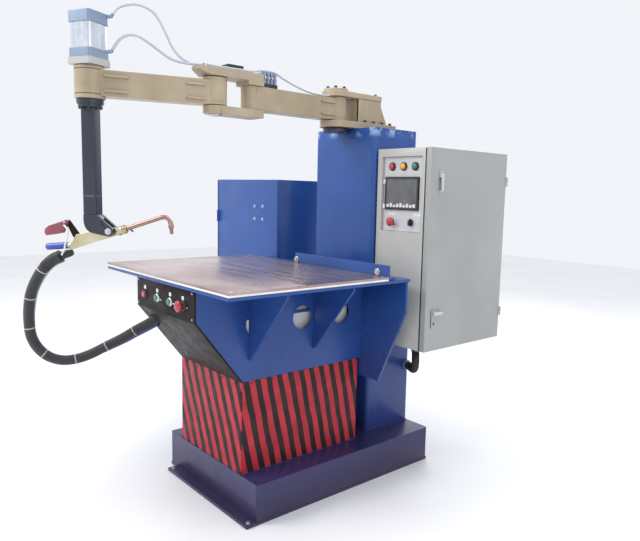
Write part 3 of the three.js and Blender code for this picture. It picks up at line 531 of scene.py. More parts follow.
def tube(name, path, radius, sides=16, place=UP, radii=None, span=None):
    """Round tube along a path or along a span of its points, capped, with UV once round and in radii along."""
    bm = bmesh.new()
    layer = bm.loops.layers.uv.new("UVMap")
    path = [Vector(q) for q in path]
    first, last = span or (0, len(path) - 1)
    tangents = [(path[min(i + 1, len(path) - 1)] - path[max(i - 1, 0)]).normalized() for i in range(len(path))]
    side = tangents[0].orthogonal().normalized()
    rings, runs, run = [], [], 0.0
    for i, (q, t) in enumerate(zip(path, tangents)):
        side = (side - t * side.dot(t)).normalized()
        run += (q - path[i - 1]).length if i else 0.0
        if not first <= i <= last:
            continue
        up = t.cross(side)
        r = radii[i] if radii else radius
        rings.append([bm.verts.new((q + (side * math.cos(a) + up * math.sin(a)) * r) * MM)
                      for a in [2 * math.pi * k / sides for k in range(sides)]])
        runs.append(run / radius)
    for i in range(len(rings) - 1):
        for k in range(sides):
            n = (k + 1) % sides
            face = bm.faces.new([rings[i][k], rings[i][n], rings[i + 1][n], rings[i + 1][k]])
            corners = [(k / sides, runs[i]), ((k + 1) / sides, runs[i]), ((k + 1) / sides, runs[i + 1]),
                       (k / sides, runs[i + 1])]
            for loop, corner in zip(face.loops, corners):
                loop[layer].uv = corner
    bm.faces.new(rings[0][::-1])
    bm.faces.new(rings[-1])
    return from_bmesh(name, bm, place)


WELD_CABLE = [
    (-213, -892, 910), (-231, -914, 896), (-253, -939, 865), (-274, -957, 825), (-293, -971, 774),
    (-307, -975, 722), (-317, -974, 679), (-325, -966, 617), (-322, -945, 571), (-312, -913, 538),
    (-297, -874, 522), (-281, -830, 523), (-265, -784, 537), (-246, -730, 564), (-227, -684, 588),
    (-204, -639, 618), (-180, -597, 645), (-160, -566, 668),
]
AIR_HOSE_UPPER = [
    (-95, -749, 1703), (-90, -728, 1733), (-80, -701, 1747), (-72, -677, 1752), (-61, -647, 1747),
    (-53, -623, 1734), (-46, -602, 1705), (-38, -581, 1662), (-32, -563, 1624), (-20, -534, 1592),
    (-7, -505, 1579), (6, -478, 1575),
]
AIR_HOSE_LOWER = [
    (-95, -750, 1592), (-93, -741, 1608), (-88, -723, 1635), (-81, -702, 1650), (-70, -673, 1652),
    (-60, -643, 1637), (-47, -609, 1613), (-35, -576, 1591), (-22, -548, 1581), (-5, -523, 1576.5),
    (12, -502, 1575), (25, -478, 1575),
]


FINE = 400


def beside_cable(distance, start_turn, end_turn, end):
    """A thinner line tied along the weld cable, up to the share end of its length; it turns round the cable from
    start_turn to end_turn, measured from the middle of the cable's loop."""
    fine = spline_points(WELD_CABLE, FINE)
    centre = Vector((-250, -800, 720))
    out = []
    for i in range(21):
        share = i / 20
        k = round(end * share * FINE)
        q = fine[k]
        along = (fine[min(k + 1, FINE)] - fine[max(k - 1, 0)]).normalized()
        inward = centre - q
        inward = (inward - along * inward.dot(along)).normalized()
        across = along.cross(inward)
        turn = start_turn + (end_turn - start_turn) * share
        out.append(q + inward * distance * math.cos(turn) + across * distance * math.sin(turn))
    return out


def spans(path, joints):
    """Cuts a path from the gun to the console where it passes from one joint to the next: its first and last point,
    and how that span bends."""
    first = 0
    for a, b, share in joints:
        last = round(share * (len(path) - 1))
        inset = (last - first) // 8 + 1
        yield first, last, (a, b, path[first + inset] * MM, path[last - inset] * MM)
        first = last


def gun_cord(name, points, radius, joints, material, count, sides, core=()):
    """A cord from the gun to the console, in one span for each joint that it crosses, ring to ring. The points of
    core lie in the boot, where the cord is thin and high, so that the gun can tilt round it."""
    path = spline_points(points, count)
    line, radii = list(path), [radius] * len(path)
    for i in core:
        line[i] = path[i] + Vector((0, 0, 15))
        radii[i] = 4.2
    for k, (first, last, bend) in enumerate(spans(path, joints), 1):
        inside = path[:core[0]] if core and first == 0 else []
        first += len(inside)
        obj = tube(f"{name}_span_{k}", line, radius, sides, radii=radii, span=(first, last))
        settle(obj, bend, material, replaces=(name,))


def hose(name, points, radius, bend, material, count, sides):
    path = spline_points(points, count)
    obj = tube(name + "_line", path, radius, sides)
    settle(obj, bend, material, replaces=(name,))


def hoop(bm, centre, along, radius, thick, sides=28):
    """Adds a thin ring round a line to bm; its own section has six sides."""
    minor = 6
    side = along.orthogonal().normalized()
    up = along.cross(side)
    loops = []
    for k in range(sides):
        a = 2 * math.pi * k / sides
        out = side * math.cos(a) + up * math.sin(a)
        base = centre + out * radius
        loops.append([bm.verts.new((base + (out * math.cos(b) + along * math.sin(b)) * thick) * MM)
                      for b in [2 * math.pi * j / minor for j in range(minor)]])
    for k in range(sides):
        for j in range(minor):
            bm.faces.new([loops[k][j], loops[(k + 1) % sides][j], loops[(k + 1) % sides][(j + 1) % minor],
                          loops[k][(j + 1) % minor]])


# ---------------------------------------------------------------- camera, light and floor
def camera_and_light():
    data = bpy.data.cameras.new("camera")
    data.sensor_width = 36
    data.lens = 35
    data.shift_x = -0.0398
    data.clip_end = 60
    camera = bpy.data.objects.new("camera", data)
    placed = Matrix.Translation((2.01434, -1.58082, 1.14948))
    for degrees, axis in ((48.094, "Z"), (82.87, "X"), (1.462, "Z")):  # heading, tilt and roll
        placed = placed @ Matrix.Rotation(math.radians(degrees), 4, axis)
    camera.matrix_world = placed
    bpy.context.scene.collection.objects.link(camera)
    bpy.context.scene.camera = camera

    def softbox(name, at, aim, size, power):
        light = bpy.data.lights.new(name, "AREA")
        light.shape = "RECTANGLE"
        light.size, light.size_y = size
        light.energy = power
        obj = bpy.data.objects.new(name, light)
        turn = (Vector(aim) - Vector(at)).to_track_quat("-Z", "Y")
        obj.matrix_world = Matrix.Translation(at) @ turn.to_matrix().to_4x4()
        bpy.context.scene.collection.objects.link(obj)

    softbox("key", (-1.6, -3.2, 3.6), (0, 0, 0.9), (2.2, 1.6), 105)
    softbox("fill", (3.6, -0.6, 2.2), (0.2, 0, 0.8), (2.4, 2.4), 14)
    softbox("back", (-2.0, 3.2, 3.0), (0, 0.2, 1.0), (2.5, 1.5), 50)
    softbox("top", (0.4, 0.0, 4.2), (0, 0, 0.8), (2.5, 2.5), 45)

    bpy.context.scene.view_settings.view_transform = "Standard"
    world = bpy.data.worlds.new("studio")
    bpy.context.scene.world = world
    world.use_nodes = True
    tree = world.node_tree
    fill(tree, tree.nodes["Background"], {"Color": (0.93, 0.95, 1.0, 1), "Strength": 0.95})

    reach = 9000
    floor = slab("floor", -reach, reach, -reach, reach, -20, -0.5)
    m, tree, bsdf, place = shader("pale_floor")
    pale = ramp(tree, noise(tree, place, 1.5), [(0.3, (0.86, 0.86, 0.87)), (0.7, (0.9, 0.9, 0.9))])
    fill(tree, bsdf, {"Base Color": pale, "Roughness": 0.6})
    floor.data.materials.append(m)


# ---------------------------------------------------------------- cables and hoses
def cables():
    gun_cord("weld_cable", WELD_CABLE, 18, CABLE_JOINTS, "sleeve", 88, 28, core=range(2, 6))
    gun_cord("water_hose", beside_cable(26.5, -0.9, -2.9, 0.975), 6, LINE_JOINTS, "blue_rubber", 100, 16)
    gun_cord("trigger_lead", beside_cable(22.5, 0, -2.2, 0.975), 2.5, LINE_JOINTS, "hose", 100, 10)
    elbow = ("link_1", "link_2", (0.012, -0.485, 1.575), (-0.085, -0.725, 1.600))
    hose("air_hose_upper", AIR_HOSE_UPPER, 5, elbow, "hose", 70, 14)
    hose("air_hose_lower", AIR_HOSE_LOWER, 5, elbow, "hose", 60, 14)

    # ties round the cable, and the ribbed rubber boot where it leaves the gun
    fine = spline_points(WELD_CABLE, FINE)
    for k, (first, last, bend) in enumerate(spans(fine, CABLE_JOINTS), 1):
        bm = bmesh.new()
        for i in [i for i in range(40, 390, 52) if first <= i < last]:
            along = (fine[i + 1] - fine[i - 1]).normalized()
            hoop(bm, fine[i], along, 18.5, 0.7)
            hoop(bm, fine[i], (along + Vector((0.16, 0, 0.08))).normalized(), 18.6, 0.5)
        settle(from_bmesh(f"cable_lacing_{k}", bm), bend, "label")
    boot = fine[0:33:2]
    ribbed = [20.6 - 0.1 * i + (0.5 if i % 3 == 1 else 0.0) for i in range(len(boot))]
    bend = ("gun", "ram", fine[2] * MM, fine[30] * MM)
    settle(tube("cable_boot", boot, 20.0, 28, radii=ribbed), bend, "rubber")


# ---------------------------------------------------------------- kept CAD pieces
def dress(name, material, bevel):
    """A CAD piece whose shape is right: softened edges and a worked surface."""
    obj = NODES[name]
    weld = obj.modifiers.new("weld", "WELD")
    weld.merge_threshold = 0.00002
    flat = obj.modifiers.new("flat", "DECIMATE")
    flat.decimate_type = "DISSOLVE"
    flat.angle_limit = math.radians(0.5)
    soften(obj, bevel)
    obj.data.shade_smooth()
    obj.data.materials.clear()
    obj.data.materials.append(MATERIALS[material])


def base_and_pedestal():
    dress("base_plate", "plinth_shaded_blue", 2.0)
    dress("plinth", "plinth_shaded_blue", 3.0)
    dress("pedestal_frame", "blue", 1.5)
    dress("front_stripe_cover", "stripe_front", 1.2)
    dress("right_stripe_cover", "stripe_side", 1.2)
    dress("left_stripe_cover", "stripe_left", 1.2)
    for side, row, place, face in (("front", (-180, -90, 0, 90, 180), FRONT, 443.0),
                                   ("right", (-400, -310, -220, -130, -40, 60), SIDE, WALL)):
        at = [(q, 474) for q in row]
        bolts(f"cover_screw_{side}", at, place, "frame", 2.6, 1.4, face, "dark_plastic", socket=True)
    bolts("floor_bolt", ((304, -466), (-250, -466)), UP, "frame", 7, 5, 12.0)
    # weld seams round the feet of the pedestal and the column, on the plinth
    plinth_top = 144.2
    for foot, left, right, front, rear in (("foot", -WALL, WALL, -443, 107), ("column", -180, 193, 194, 443)):
        out = front - 3
        seams = ((left, right, out, front), (right, right + 3, out, rear), (left - 3, left, out, rear))
        for i, seam in enumerate(seams):
            block_piece(f"{foot}_weld_{i}", (*seam, plinth_top, plinth_top + 3.3), "frame", "blue", 1.2)


def console():
    lip, foot, top = (-621, 713), (-443, 484), 823.7  # ends of the front panel's slanted underside, as (y, z)
    slant = math.atan2(lip[1] - foot[1], foot[0] - lip[0])
    wall_front = foot[0] + 6 / math.sin(slant) + 0.5
    outline = [(-614.7, top), (-614.7, 715.5), (wall_front, foot[1]), (123.7, foot[1]), (123.7, top)]
    holes = [ring(y, WALL_HOLE_Z, WALL_HOLE_R) for y in WALL_HOLES]
    for sign, side in ((1, "right"), (-1, "left")):
        wall = plate(f"side_wall_{side}", outline, *mirrored(sign, WALL - 6, WALL), SIDE, holes)
        settle(wall, "frame", "blue", (f"console_side_{side}",), bevel=1.0)
        web = [(x * sign, z) for x, z in ((WALL, top), (WALL, 561), (WALL + 8, 561), (440, 809), (440, top))]
        for i, y in enumerate(GUSSETS):
            settle(plate(f"gusset_{side}_{i}", web, -y - 4, -y + 4, FRONT), "frame", "blue", bevel=1.2)
            bead = [(WALL * sign, y + 5, z) for z in range(563, 822, 8)]
            lumps = [2.3 + 0.5 * math.sin(j * 2.1) for j in range(len(bead))]
            settle(tube(f"gusset_weld_{side}_{i}", bead, 2.6, 8, radii=lumps), "frame", "blue")
    for sign, side in ((1, "right"), (-1, "left")):
        tray, rib = mirrored(sign, 188, 191), mirrored(sign, 191, WALL - 6.2)
        block_piece(f"inner_tray_{side}", (*tray, -430, 70, 622, 750), "frame", "label", 0.8)
        block_piece(f"inner_rib_{side}", (*rib, -430, 110, 703, 710), "frame", "blue", 0.8)
    for i, y in enumerate(WALL_HOLES):
        trim = bmesh.new()
        hoop(trim, Vector((WALL, y, WALL_HOLE_Z)), Vector((1, 0, 0)), WALL_HOLE_R, 0.9, 48)
        settle(from_bmesh(f"hole_rim_{i}", trim), "frame", "blue")
    dress("console_front_panel", "black", 0.8)
    dress("rear_support_plate", "blue", 1.5)

    # each control turns or slides in the panel: its stem ends in a flange behind it
    stem = [(11, 600), (13.5, 600), (13.5, 599), (0, 599)]
    button = [(0, 631.2), (6, 631.6), (9.4, 632.0), (10.6, 631.2), (11, 629.5)] + stem
    bezel = [(11.3, PANEL), (11.3, 627.0), (12.2, 627.6), (14.0, 626.6), (16, 622.5), (16, PANEL)]
    for name, x in BUTTONS:
        red = name == "button_red"
        cap = lathe(f"{name}_cap", button, FRONT, 40, (x, BUTTON_Z))
        colour, slot = ("pink_plastic", "red_plastic") if red else ("green_plastic", "green_plastic")
        settle(cap, name, colour, (name,))
        settle(lathe(f"{name}_bezel", bezel, FRONT, 48, (x, BUTTON_Z)), "frame", "dark_plastic" if red else "steel")
    mushroom = [(0, 648), (8, 647.7), (14, 646.4), (18.2, 643.6), (20, 640), (19.6, 636.5), (17, 634), (11.4, 633.6),
                (11, 632)] + stem
    settle(lathe("stop_mushroom_cap", mushroom, FRONT, 56, (MUSHROOM_X, BUTTON_Z)), "stop_mushroom", "red_plastic",
           ("stop_mushroom",))
    collar = [(11.3, PANEL), (11.3, 626.6), (15, 627), (18, 624), (18.5, PANEL)]
    settle(lathe("stop_collar", collar, FRONT, 48, (MUSHROOM_X, BUTTON_Z)), "frame", "dark_plastic")
    across = [x for _, x in BUTTONS] + [MUSHROOM_X]
    for i, x in enumerate(across):
        block_piece(f"button_label_{i}", (x - 8, x + 8, 782, 795, PANEL, PANEL + 1), "frame", "label", 0.4, FRONT)
    for i, x in enumerate(across[1:]):
        guard = (x + 14, x + 37, BUTTON_Z - 5.5, BUTTON_Z - 0.5, PANEL, PANEL + 4)
        block_piece(f"button_guard_{i}", guard, "frame", "steel", 1.2, FRONT)
    corners = ((-205, 812), (205, 812), (-205, 725), (205, 725))
    bolts("panel_screw", corners, FRONT, "frame", 3.2, 1.8, PANEL, socket=True)


def table():
    dress("table_bed", "blue", 1.6)
    dress("table_insulation", "board", 0.5)
    dress("copper_table", "copper_top", 1.2)
    dress("table_stop_rail", "blue", 1.4)
    for i, x in enumerate((-93, 397)):
        settle(drum(f"rail_clamp_pad_{i}", 13, -29.8, -26.2, FRONT, (x, 863)), "frame", "steel")
        hex_bolt(f"rail_bolt_{i}", (x, 863), FRONT, "frame", 8.5, 8, -29.6)
    screw = [(0, 850.0), (2.6, 850.0), (3.2, 850.6), (6.4, 850.6), (7, 850.2), (7, 849.6)]
    for i, at in enumerate(((-440, -620), (440, -620), (-440, 12), (440, 12))):
        settle(lathe(f"table_screw_{i}", screw, UP, 32, at), "frame", "steel")


def column_and_housing():
    dress("column", "blue", 2.0)
    dress("cooler_housing", "blue", 2.0)
    bolts("housing_stud", ((-600, 1072), (-530, 1072), (-600, 1010), (-530, 1010)), FRONT, "frame", 6, 4, -150.0)
    for i, z in enumerate((300, 640, 980)):
        settle(drum(f"housing_hinge_{i}", 7, z, z + 60, UP, (-948, 147)), "frame", "blue")
    for i, x in enumerate((-955, -409)):
        block_piece(f"housing_seam_{i}", (x, x + 1.6, 148.4, 150, 75, 1190), "frame", "blue", 0.5)
    # weld line where the stop rail's foot meets the column
    bead = [(x, 192.6, 868 + 0.8 * math.sin(x * 0.21)) for x in range(-160, 176, 7)]
    settle(tube("column_front_bead", bead, 1.6, 8), "frame", "blue")


def cabinet():
    dress("cabinet_shell", "cabinet", 1.6)
    dress("weld_controller", "dark_plastic", 1.0)
    face = SCREEN_FACE
    stop_at, selector_at, lamp_z = (288, 1040), (386, 1041), 1256
    window = [(243, 1088), (419, 1088), (419, 1215), (243, 1215)]
    board = plate("panel_board", [(230, 1004), (440, 1004), (440, 1293), (230, 1293)], face - 2.5, face, FRONT,
                  [ring(*stop_at, 10), ring(*selector_at, 6.6), window])
    settle(board, "frame", "panel_face", ("control_panel",), bevel=0.5)
    bezel = [(12.4, 0), (12.4, 7), (13.4, 8), (15.4, 7), (16.4, 4), (16.6, 0)]
    lens = [(0, 16), (5, 15.6), (9.4, 13.8), (11.8, 10.5), (12.4, 7), (12.4, 0)]
    for i, (x, colour) in enumerate(((276, "lens_red"), (337, "lens_amber"), (397, "lens_green"))):
        settle(lathe(f"lamp_bezel_{i}", lifted(bezel, face), FRONT, 48, (x, lamp_z)), "frame", "dark_plastic")
        settle(lathe(f"lamp_lens_{i}", lifted(lens, face), FRONT, 40, (x, lamp_z)), "frame", colour)
        label = (x - 15, x + 15, 1233, 1238, face, face + 0.6)
        block_piece(f"lamp_label_{i}", label, "frame", "label", 0.2, FRONT)
    glass = plate("controller_glass", rounded(249, 413, 1094, 1209, 4), face + 3, face + 5.5, FRONT)
    settle(glass, "frame", "screen", bevel=0.8)
    inner = rounded(250, 412, 1095, 1208, 4)
    rim = plate("controller_rim", rounded(242, 420, 1087, 1216, 5), face, face + 7, FRONT, [inner])
    settle(rim, "frame", "dark_plastic", bevel=1.0)
    for i, tall in enumerate((11, 15, 8, 13, 16, 9, 14, 10, 13)):
        x = 254 + 17.4 * i
        bar = (x, x + 12.5, 1098, 1098 + tall, face + 5, face + 6.6)
        block_piece(f"terminal_{i}", bar, "frame", "label", 0.6, FRONT)
    for i, z in enumerate((1197, 1100)):
        block_piece(f"cover_hinge_{i}", (236, 246, z - 9, z + 9, face, face + 11), "frame", "label", 2.0, FRONT)
    for i, x in enumerate((258, 394)):
        label = (x, x + 38, 1066, 1076, face, face + 0.6)
        block_piece(f"switch_label_{i}", label, "frame", "label", 0.2, FRONT)
    stop = [(0, 28), (8, 27.6), (14, 26), (17.2, 22.6), (18, 19), (16.6, 15), (11, 14), (9.7, 13), (9.7, -20),
            (0, -20)]
    settle(lathe("cabinet_stop_cap", lifted(stop, face), FRONT, 48, stop_at), "cabinet_stop", "red_plastic",
           ("cabinet_stop_button",))
    for name, at, collar in (("cabinet_stop", stop_at, [(10, 0), (10, 5), (13, 6), (15.5, 4), (16, 0)]),
                             ("selector", selector_at, [(6.6, 0), (6.6, 3), (14, 3.5), (16, 2), (16.5, 0)])):
        settle(lathe(f"{name}_ring", lifted(collar, face), FRONT, 48, at), "frame", "steel")
    knob = [(0, 11), (12, 10.6), (13.6, 9), (14, 4), (13.6, 3.8), (6, 3.8), (6, -20), (0, -20)]
    settle(lathe("selector_body", lifted(knob, face), FRONT, 40, selector_at), "selector", "dark_plastic",
           ("selector_knob",))
    grip = (382.5, 389.5, 1028.5, 1053.5, face + 9, face + 20)
    mark = (385.2, 386.8, 1046, 1053, face + 19.8, face + 20.3)
    block_piece("selector_grip", grip, "selector", "dark_plastic", 1.5, FRONT)
    block_piece("selector_mark", mark, "selector", "label", 0.2, FRONT)


def cabinet_door():
    seals = (("front", (455.6, 461.4, 204.3, 209, 549, 1323)), ("top", (455.6, 461.2, 206, 686, 1322, 1325.4)),
             ("foot", (455.6, 461.2, 206, 686, 546.6, 550)))
    for name, seal in seals:
        block_piece(f"door_seal_{name}", seal, "frame", "rubber", 0.6)
    dress("cabinet_door", "door", 2.2)
    base = plate("handle_plate", rounded(252, 270, 1160, 1240, 8), 485.3, 489, SIDE, [ring(*HANDLE, 11.6)])
    settle(base, "door", "steel", bevel=1.0)
    lever = plate("handle_lever", [(255, 1164), (267, 1164)] + arc(261, 1224, 7.5, 0, 180, 12), 492, 500, SIDE)
    settle(lever, "door_handle", "steel", ("door_handle",), bevel=2.0)
    settle(drum("handle_hub", 10.6, 485.5, 494, SIDE, HANDLE), "door_handle", "steel")
    base = plate("lock_plate", rounded(237, 265, 636, 712, 6), 485, 488.6, SIDE, [ring(*LOCK, 6.2, 24)])
    settle(base, "door", "steel", bevel=1.0)
    hub = drum("lock_hub", 10.6, 489.4, 494, SIDE, LOCK)
    settle(hub, "door_lock", "steel", ("door_lock",))
    bolt = arc(286, 696, 7, -90, 90, 10) + arc(250, 696, 8.5, 90, 270, 10)
    settle(plate("lock_lever", bolt, 491, 501.6, SIDE), "door_lock", "steel", bevel=2.4)
    settle(drum("lock_key", 5, 488.6, 489.6, SIDE, (251, 655), 0.3, 28), "door", "dark_plastic")
    pin = [(0, -20), (4, -20), (4.6, -19), (4.6, 19), (4, 20), (0, 20)]
    for i, z in enumerate((660, 1211)):
        settle(lathe(f"hinge_pin_{i}", lifted(pin, z), UP, 24, HINGE), "door", "steel")
    bolts("cabinet_roof_bolt", ((220, 400), (220, 500), (440, 400)), UP, "frame", 5, 3, 1325.0)


def conduit():
    route = [(360, 300, 513), (355, 308, 478), (330, 335, 436), (290, 372, 408), (245, 405, 398), (213, 425, 398)]
    path = spline_points(route, 150)
    radii = [15.9 if k % 2 else 13.9 for k in range(len(path))]
    settle(tube("conduit_hose", path, 16, 24, radii=radii), "frame", "rubber", ("cabinet_conduit",))
    gland = [(0, 0), (17, 0), (18, 2), (18, 24), (0, 24)]
    for name, place, at, low, nut in (("upper", UP, (360, 300), 513, 16), ("lower", SIDE, (425, 398), 193.3, 0.4)):
        settle(lathe(f"conduit_gland_{name}", lifted(gland, low), place, 32, at), "frame", "dark_plastic")
        hex_bolt(f"conduit_nut_{name}", at, place, "frame", 24, 13, low + nut, "cap", washer=False)


def transformer():
    dress("transformer_core", "steel", 1.0)
    dress("transformer_coil", "copper_tube", 2.0)
    dress("output_bar", "copper_tube", 1.5)


# ---------------------------------------------------------------- swing arm
def ribs(link, bars, half, place):
    """Stiffening bars welded along both cheeks of a beam."""
    for i, (x0, x1, z) in enumerate(bars):
        for j, side in enumerate((-1, 1)):
            across = mirrored(side, half - 1, half + 9)
            block_piece(f"{link}_rib_{i}_{j}", (x0, x1, *across, z - 0.5, z + 8.5), link, "gold", 3.6, place)


def arm_base():
    x, y = PIVOT
    lower = plate("arm_lower_plate", nose(x, y, 66, 80, 415, 232), 1414.3, 1441, UP, [ring(x, y, 18.4, 40)])
    settle(lower, "frame", "gold", ("arm_bracket",), bevel=2.4)
    profile = [(213, 1440), (382, 1440), (343, 1515), (343, 1536.7), (213, 1536.7)]
    for i, (x0, x1) in enumerate(((-42, -30), (60, 72))):
        settle(plate(f"arm_web_{i}", profile, x0, x1, SIDE), "frame", "gold", bevel=2.0)
    block_piece("arm_web_front", (-40, 70, 213, 225, 1440, 1536.7), "frame", "gold", 1.5)
    block_piece("arm_web_rib", (-40, 70, 340, 348, 1440, 1514), "frame", "gold", 1.5)
    upper = plate("arm_upper_slab", nose(x, y, 60, 60, 344), 1537, 1559, UP, [ring(x, y, 18.4, 40)])
    settle(upper, "frame", "gold", ("arm_upper_plate",), bevel=2.4)
    settle(drum("arm_pivot_cap", 52, 1558.5, 1570, UP, (x, y), 2.5), "frame", "gold")
    bolts("pivot_bolt", arc(x, y, 38, 15, 315, 5), UP, "frame", 6.5, 8, 1569.8, "dark_plastic", socket=True)
    for i, back in enumerate((241, 290, 339, 387)):
        bolts(f"base_bolt_{i}", ((x - 69, back), (x + 69, back)), UP, "frame", 7, 8, 1441, "dark_plastic")
    bolts("upper_rear_bolt", ((x - 42, 322), (x + 42, 322)), UP, "frame", 6, 7, 1559, "dark_plastic")
    dress("pivot_pin", "ram", 1.0)
    flange = [(20, 1396), (51, 1396), (52, 1398), (52, 1411), (50, 1413.8), (20, 1413.8)]
    settle(lathe("pivot_flange_ring", flange, UP, 56, PIVOT), "frame", "ram")


def link_one():
    x, y = PIVOT
    ex, ey = ELBOW
    beam = plate("link_1_beam", nose(x, -278, 37, 37, y), 1443, 1527)
    settle(beam, "link_1", "gold", ("arm_link_1",), bevel=2.6)
    hub = [(18.4, 1442), (42.5, 1442), (44, 1443.5), (44, 1453), (43.2, 1453.6), (43.2, 1455), (44, 1455.6),
           (44, 1523), (43.2, 1523.6), (43.2, 1525), (44, 1525.6), (44, 1534.5), (42.5, 1536), (18.4, 1536)]
    settle(lathe("link_1_hub", hub, UP, 64, PIVOT), "link_1", "gold")
    ribs("link_1", [(-100, -30, 1457), (-100, -30, 1505)], 37, LINK1)
    block_piece("link_1_pad", (-22, 52, -310, -250, 1439, 1446), "link_1", "gold", 1.2)
    lower = plate("link_1_fork", nose(ex, ey, 42, 45, -250), 1413, 1441, UP, [ring(ex, ey, 18.4, 40)])
    settle(lower, "link_1", "gold", bevel=2.6)

    # the fork's upper plate gets thinner from the elbow to its tip
    outline = [(ex + 45, -250), (ex - 45, -250), (ex - 45, ey - 40), (ex - 24, ey - 78), (ex + 24, ey - 78),
               (ex + 45, ey - 40)]
    bm = bmesh.new()
    low = [bm.verts.new((px * MM, py * MM, (1558 if py < ey - 52 else 1541) * MM)) for px, py in outline]
    top = [bm.verts.new((px * MM, py * MM, 1569 * MM)) for px, py in outline]
    bm.faces.new(top)
    bm.faces.new((low[0], low[1], low[2], low[5]))
    bm.faces.new((low[2], low[3], low[4], low[5]))
    for k in range(6):
        bm.faces.new([low[k], low[(k + 1) % 6], top[(k + 1) % 6], top[k]])
    settle(from_bmesh("elbow_upper_plate", bm), "link_1", "gold", ("elbow_fork_upper",), bevel=2.2)
    block_piece("elbow_spacer", (-29, 61, -315, -250, 1527.3, 1542), "link_1", "gold", 1.2)
    settle(drum("elbow_cap", 30, 1568.6, 1574, UP, ELBOW, 1.4), "link_1", "gold", ("elbow_pin",))
    pin = [(0, 1407), (24, 1407), (26, 1409), (26, 1412.7), (18, 1412.7), (18, 1568), (0, 1568)]
    settle(lathe("elbow_pin_body", pin, UP, 40, ELBOW), "link_1", "steel")

    block_piece("valve_base", (-6, 48, -243, -181, 1527.3, 1541), "link_1", "dark_plastic", 1.2)
    for i in range(4):
        section = (-5, 47, -242 + 15.5 * i, -231 + 15.5 * i, 1541, 1584)
        block_piece(f"valve_section_{i}", section, "link_1", "cap", 1.4)
        settle(drum(f"valve_cap_{i}", 4, 1583, 1586, UP, (21, -236.5 + 15.5 * i), 0.8, 24), "link_1", "steel")
        settle(drum(f"valve_port_{i}", 4.2, 47, 52, SIDE, (-236.5 + 15.5 * i, 1562), 0.8, 24), "link_1", "steel")
    box = plate("relay_case", rounded(-14, 34, -386, -320, 3), 1569.3, 1592)
    settle(box, "link_1", "dark_plastic", ("relay_box",), bevel=1.6)
    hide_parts("valve_block")

    air = [(38, -474, 1576), (42, -445, 1574), (47, -400, 1573.6), (51, -340, 1573.8), (48, -290, 1576),
           (34, -250, 1587), (28, -212, 1590), (28, -180, 1588), (32, -150, 1574), (38, -90, 1552), (40, -20, 1536),
           (38, 60, 1534), (32, 100, 1540)]
    settle(tube("arm_air_line", spline_points(air, 60), 4.0, 12), "link_1", "hose")
    settle(drum("air_fitting", 6.5, 1536, 1543, UP, (31, 103), 1.0, 24), "link_1", "cap")
    stud = [(0, 1568.8), (7, 1568.8), (7, 1571), (5, 1572), (5, 1580), (4, 1581), (0, 1581)]
    for i, hose_end in enumerate((AIR_HOSE_UPPER[-1], AIR_HOSE_LOWER[-1])):
        settle(lathe(f"hose_stud_{i}", stud, UP, 24, hose_end[:2]), "link_1", "cap")


def link_two():
    beam = plate("link_2_beam", rounded(0, LINK_2, -35, 35, 4), 1443, 1527, LINK2)
    settle(beam, "link_2", "gold", ("arm_link_2",), bevel=2.6)
    elbow = [(18.4, 1443.5), (40.5, 1443.5), (42, 1445), (42, 1454), (41.2, 1454.6), (41.2, 1456), (42, 1456.6),
             (42, 1526), (41.2, 1526.6), (41.2, 1528), (42, 1528.6), (42, 1536.5), (40.5, 1538), (18.4, 1538)]
    settle(lathe("link_2_elbow_hub", elbow, LINK2, 64), "link_2", "gold")
    head = [(40.5, 1433), (46.5, 1433), (48, 1434.5), (48, 1445.6), (47.2, 1446.2), (47.2, 1448), (48, 1448.6),
            (48, 1524), (47.2, 1524.6), (47.2, 1526.4), (48, 1527), (48, 1533.5), (46.5, 1535), (40.5, 1535)]
    settle(lathe("link_2_head_hub", head, LINK2, 72, (LINK_2, 0)), "link_2", "gold")
    # dark rings over the head hub's grooves: painted groove shade
    line = [(47, 0), (48.15, 0.1), (48.15, 1.5), (47, 1.6)]
    for i, z in enumerate((1446.8, 1525.4)):
        groove_shade = lathe(f"head_hub_shade_line_{i}", lifted(line, z), LINK2, 72, (LINK_2, 0))
        settle(groove_shade, "link_2", "dark_plastic")
    bars = [(start, end, z) for start, end in ((36, 104), (LINK_2 - 120, LINK_2 - 40)) for z in (1455, 1503)]
    ribs("link_2", bars, 35, LINK2)


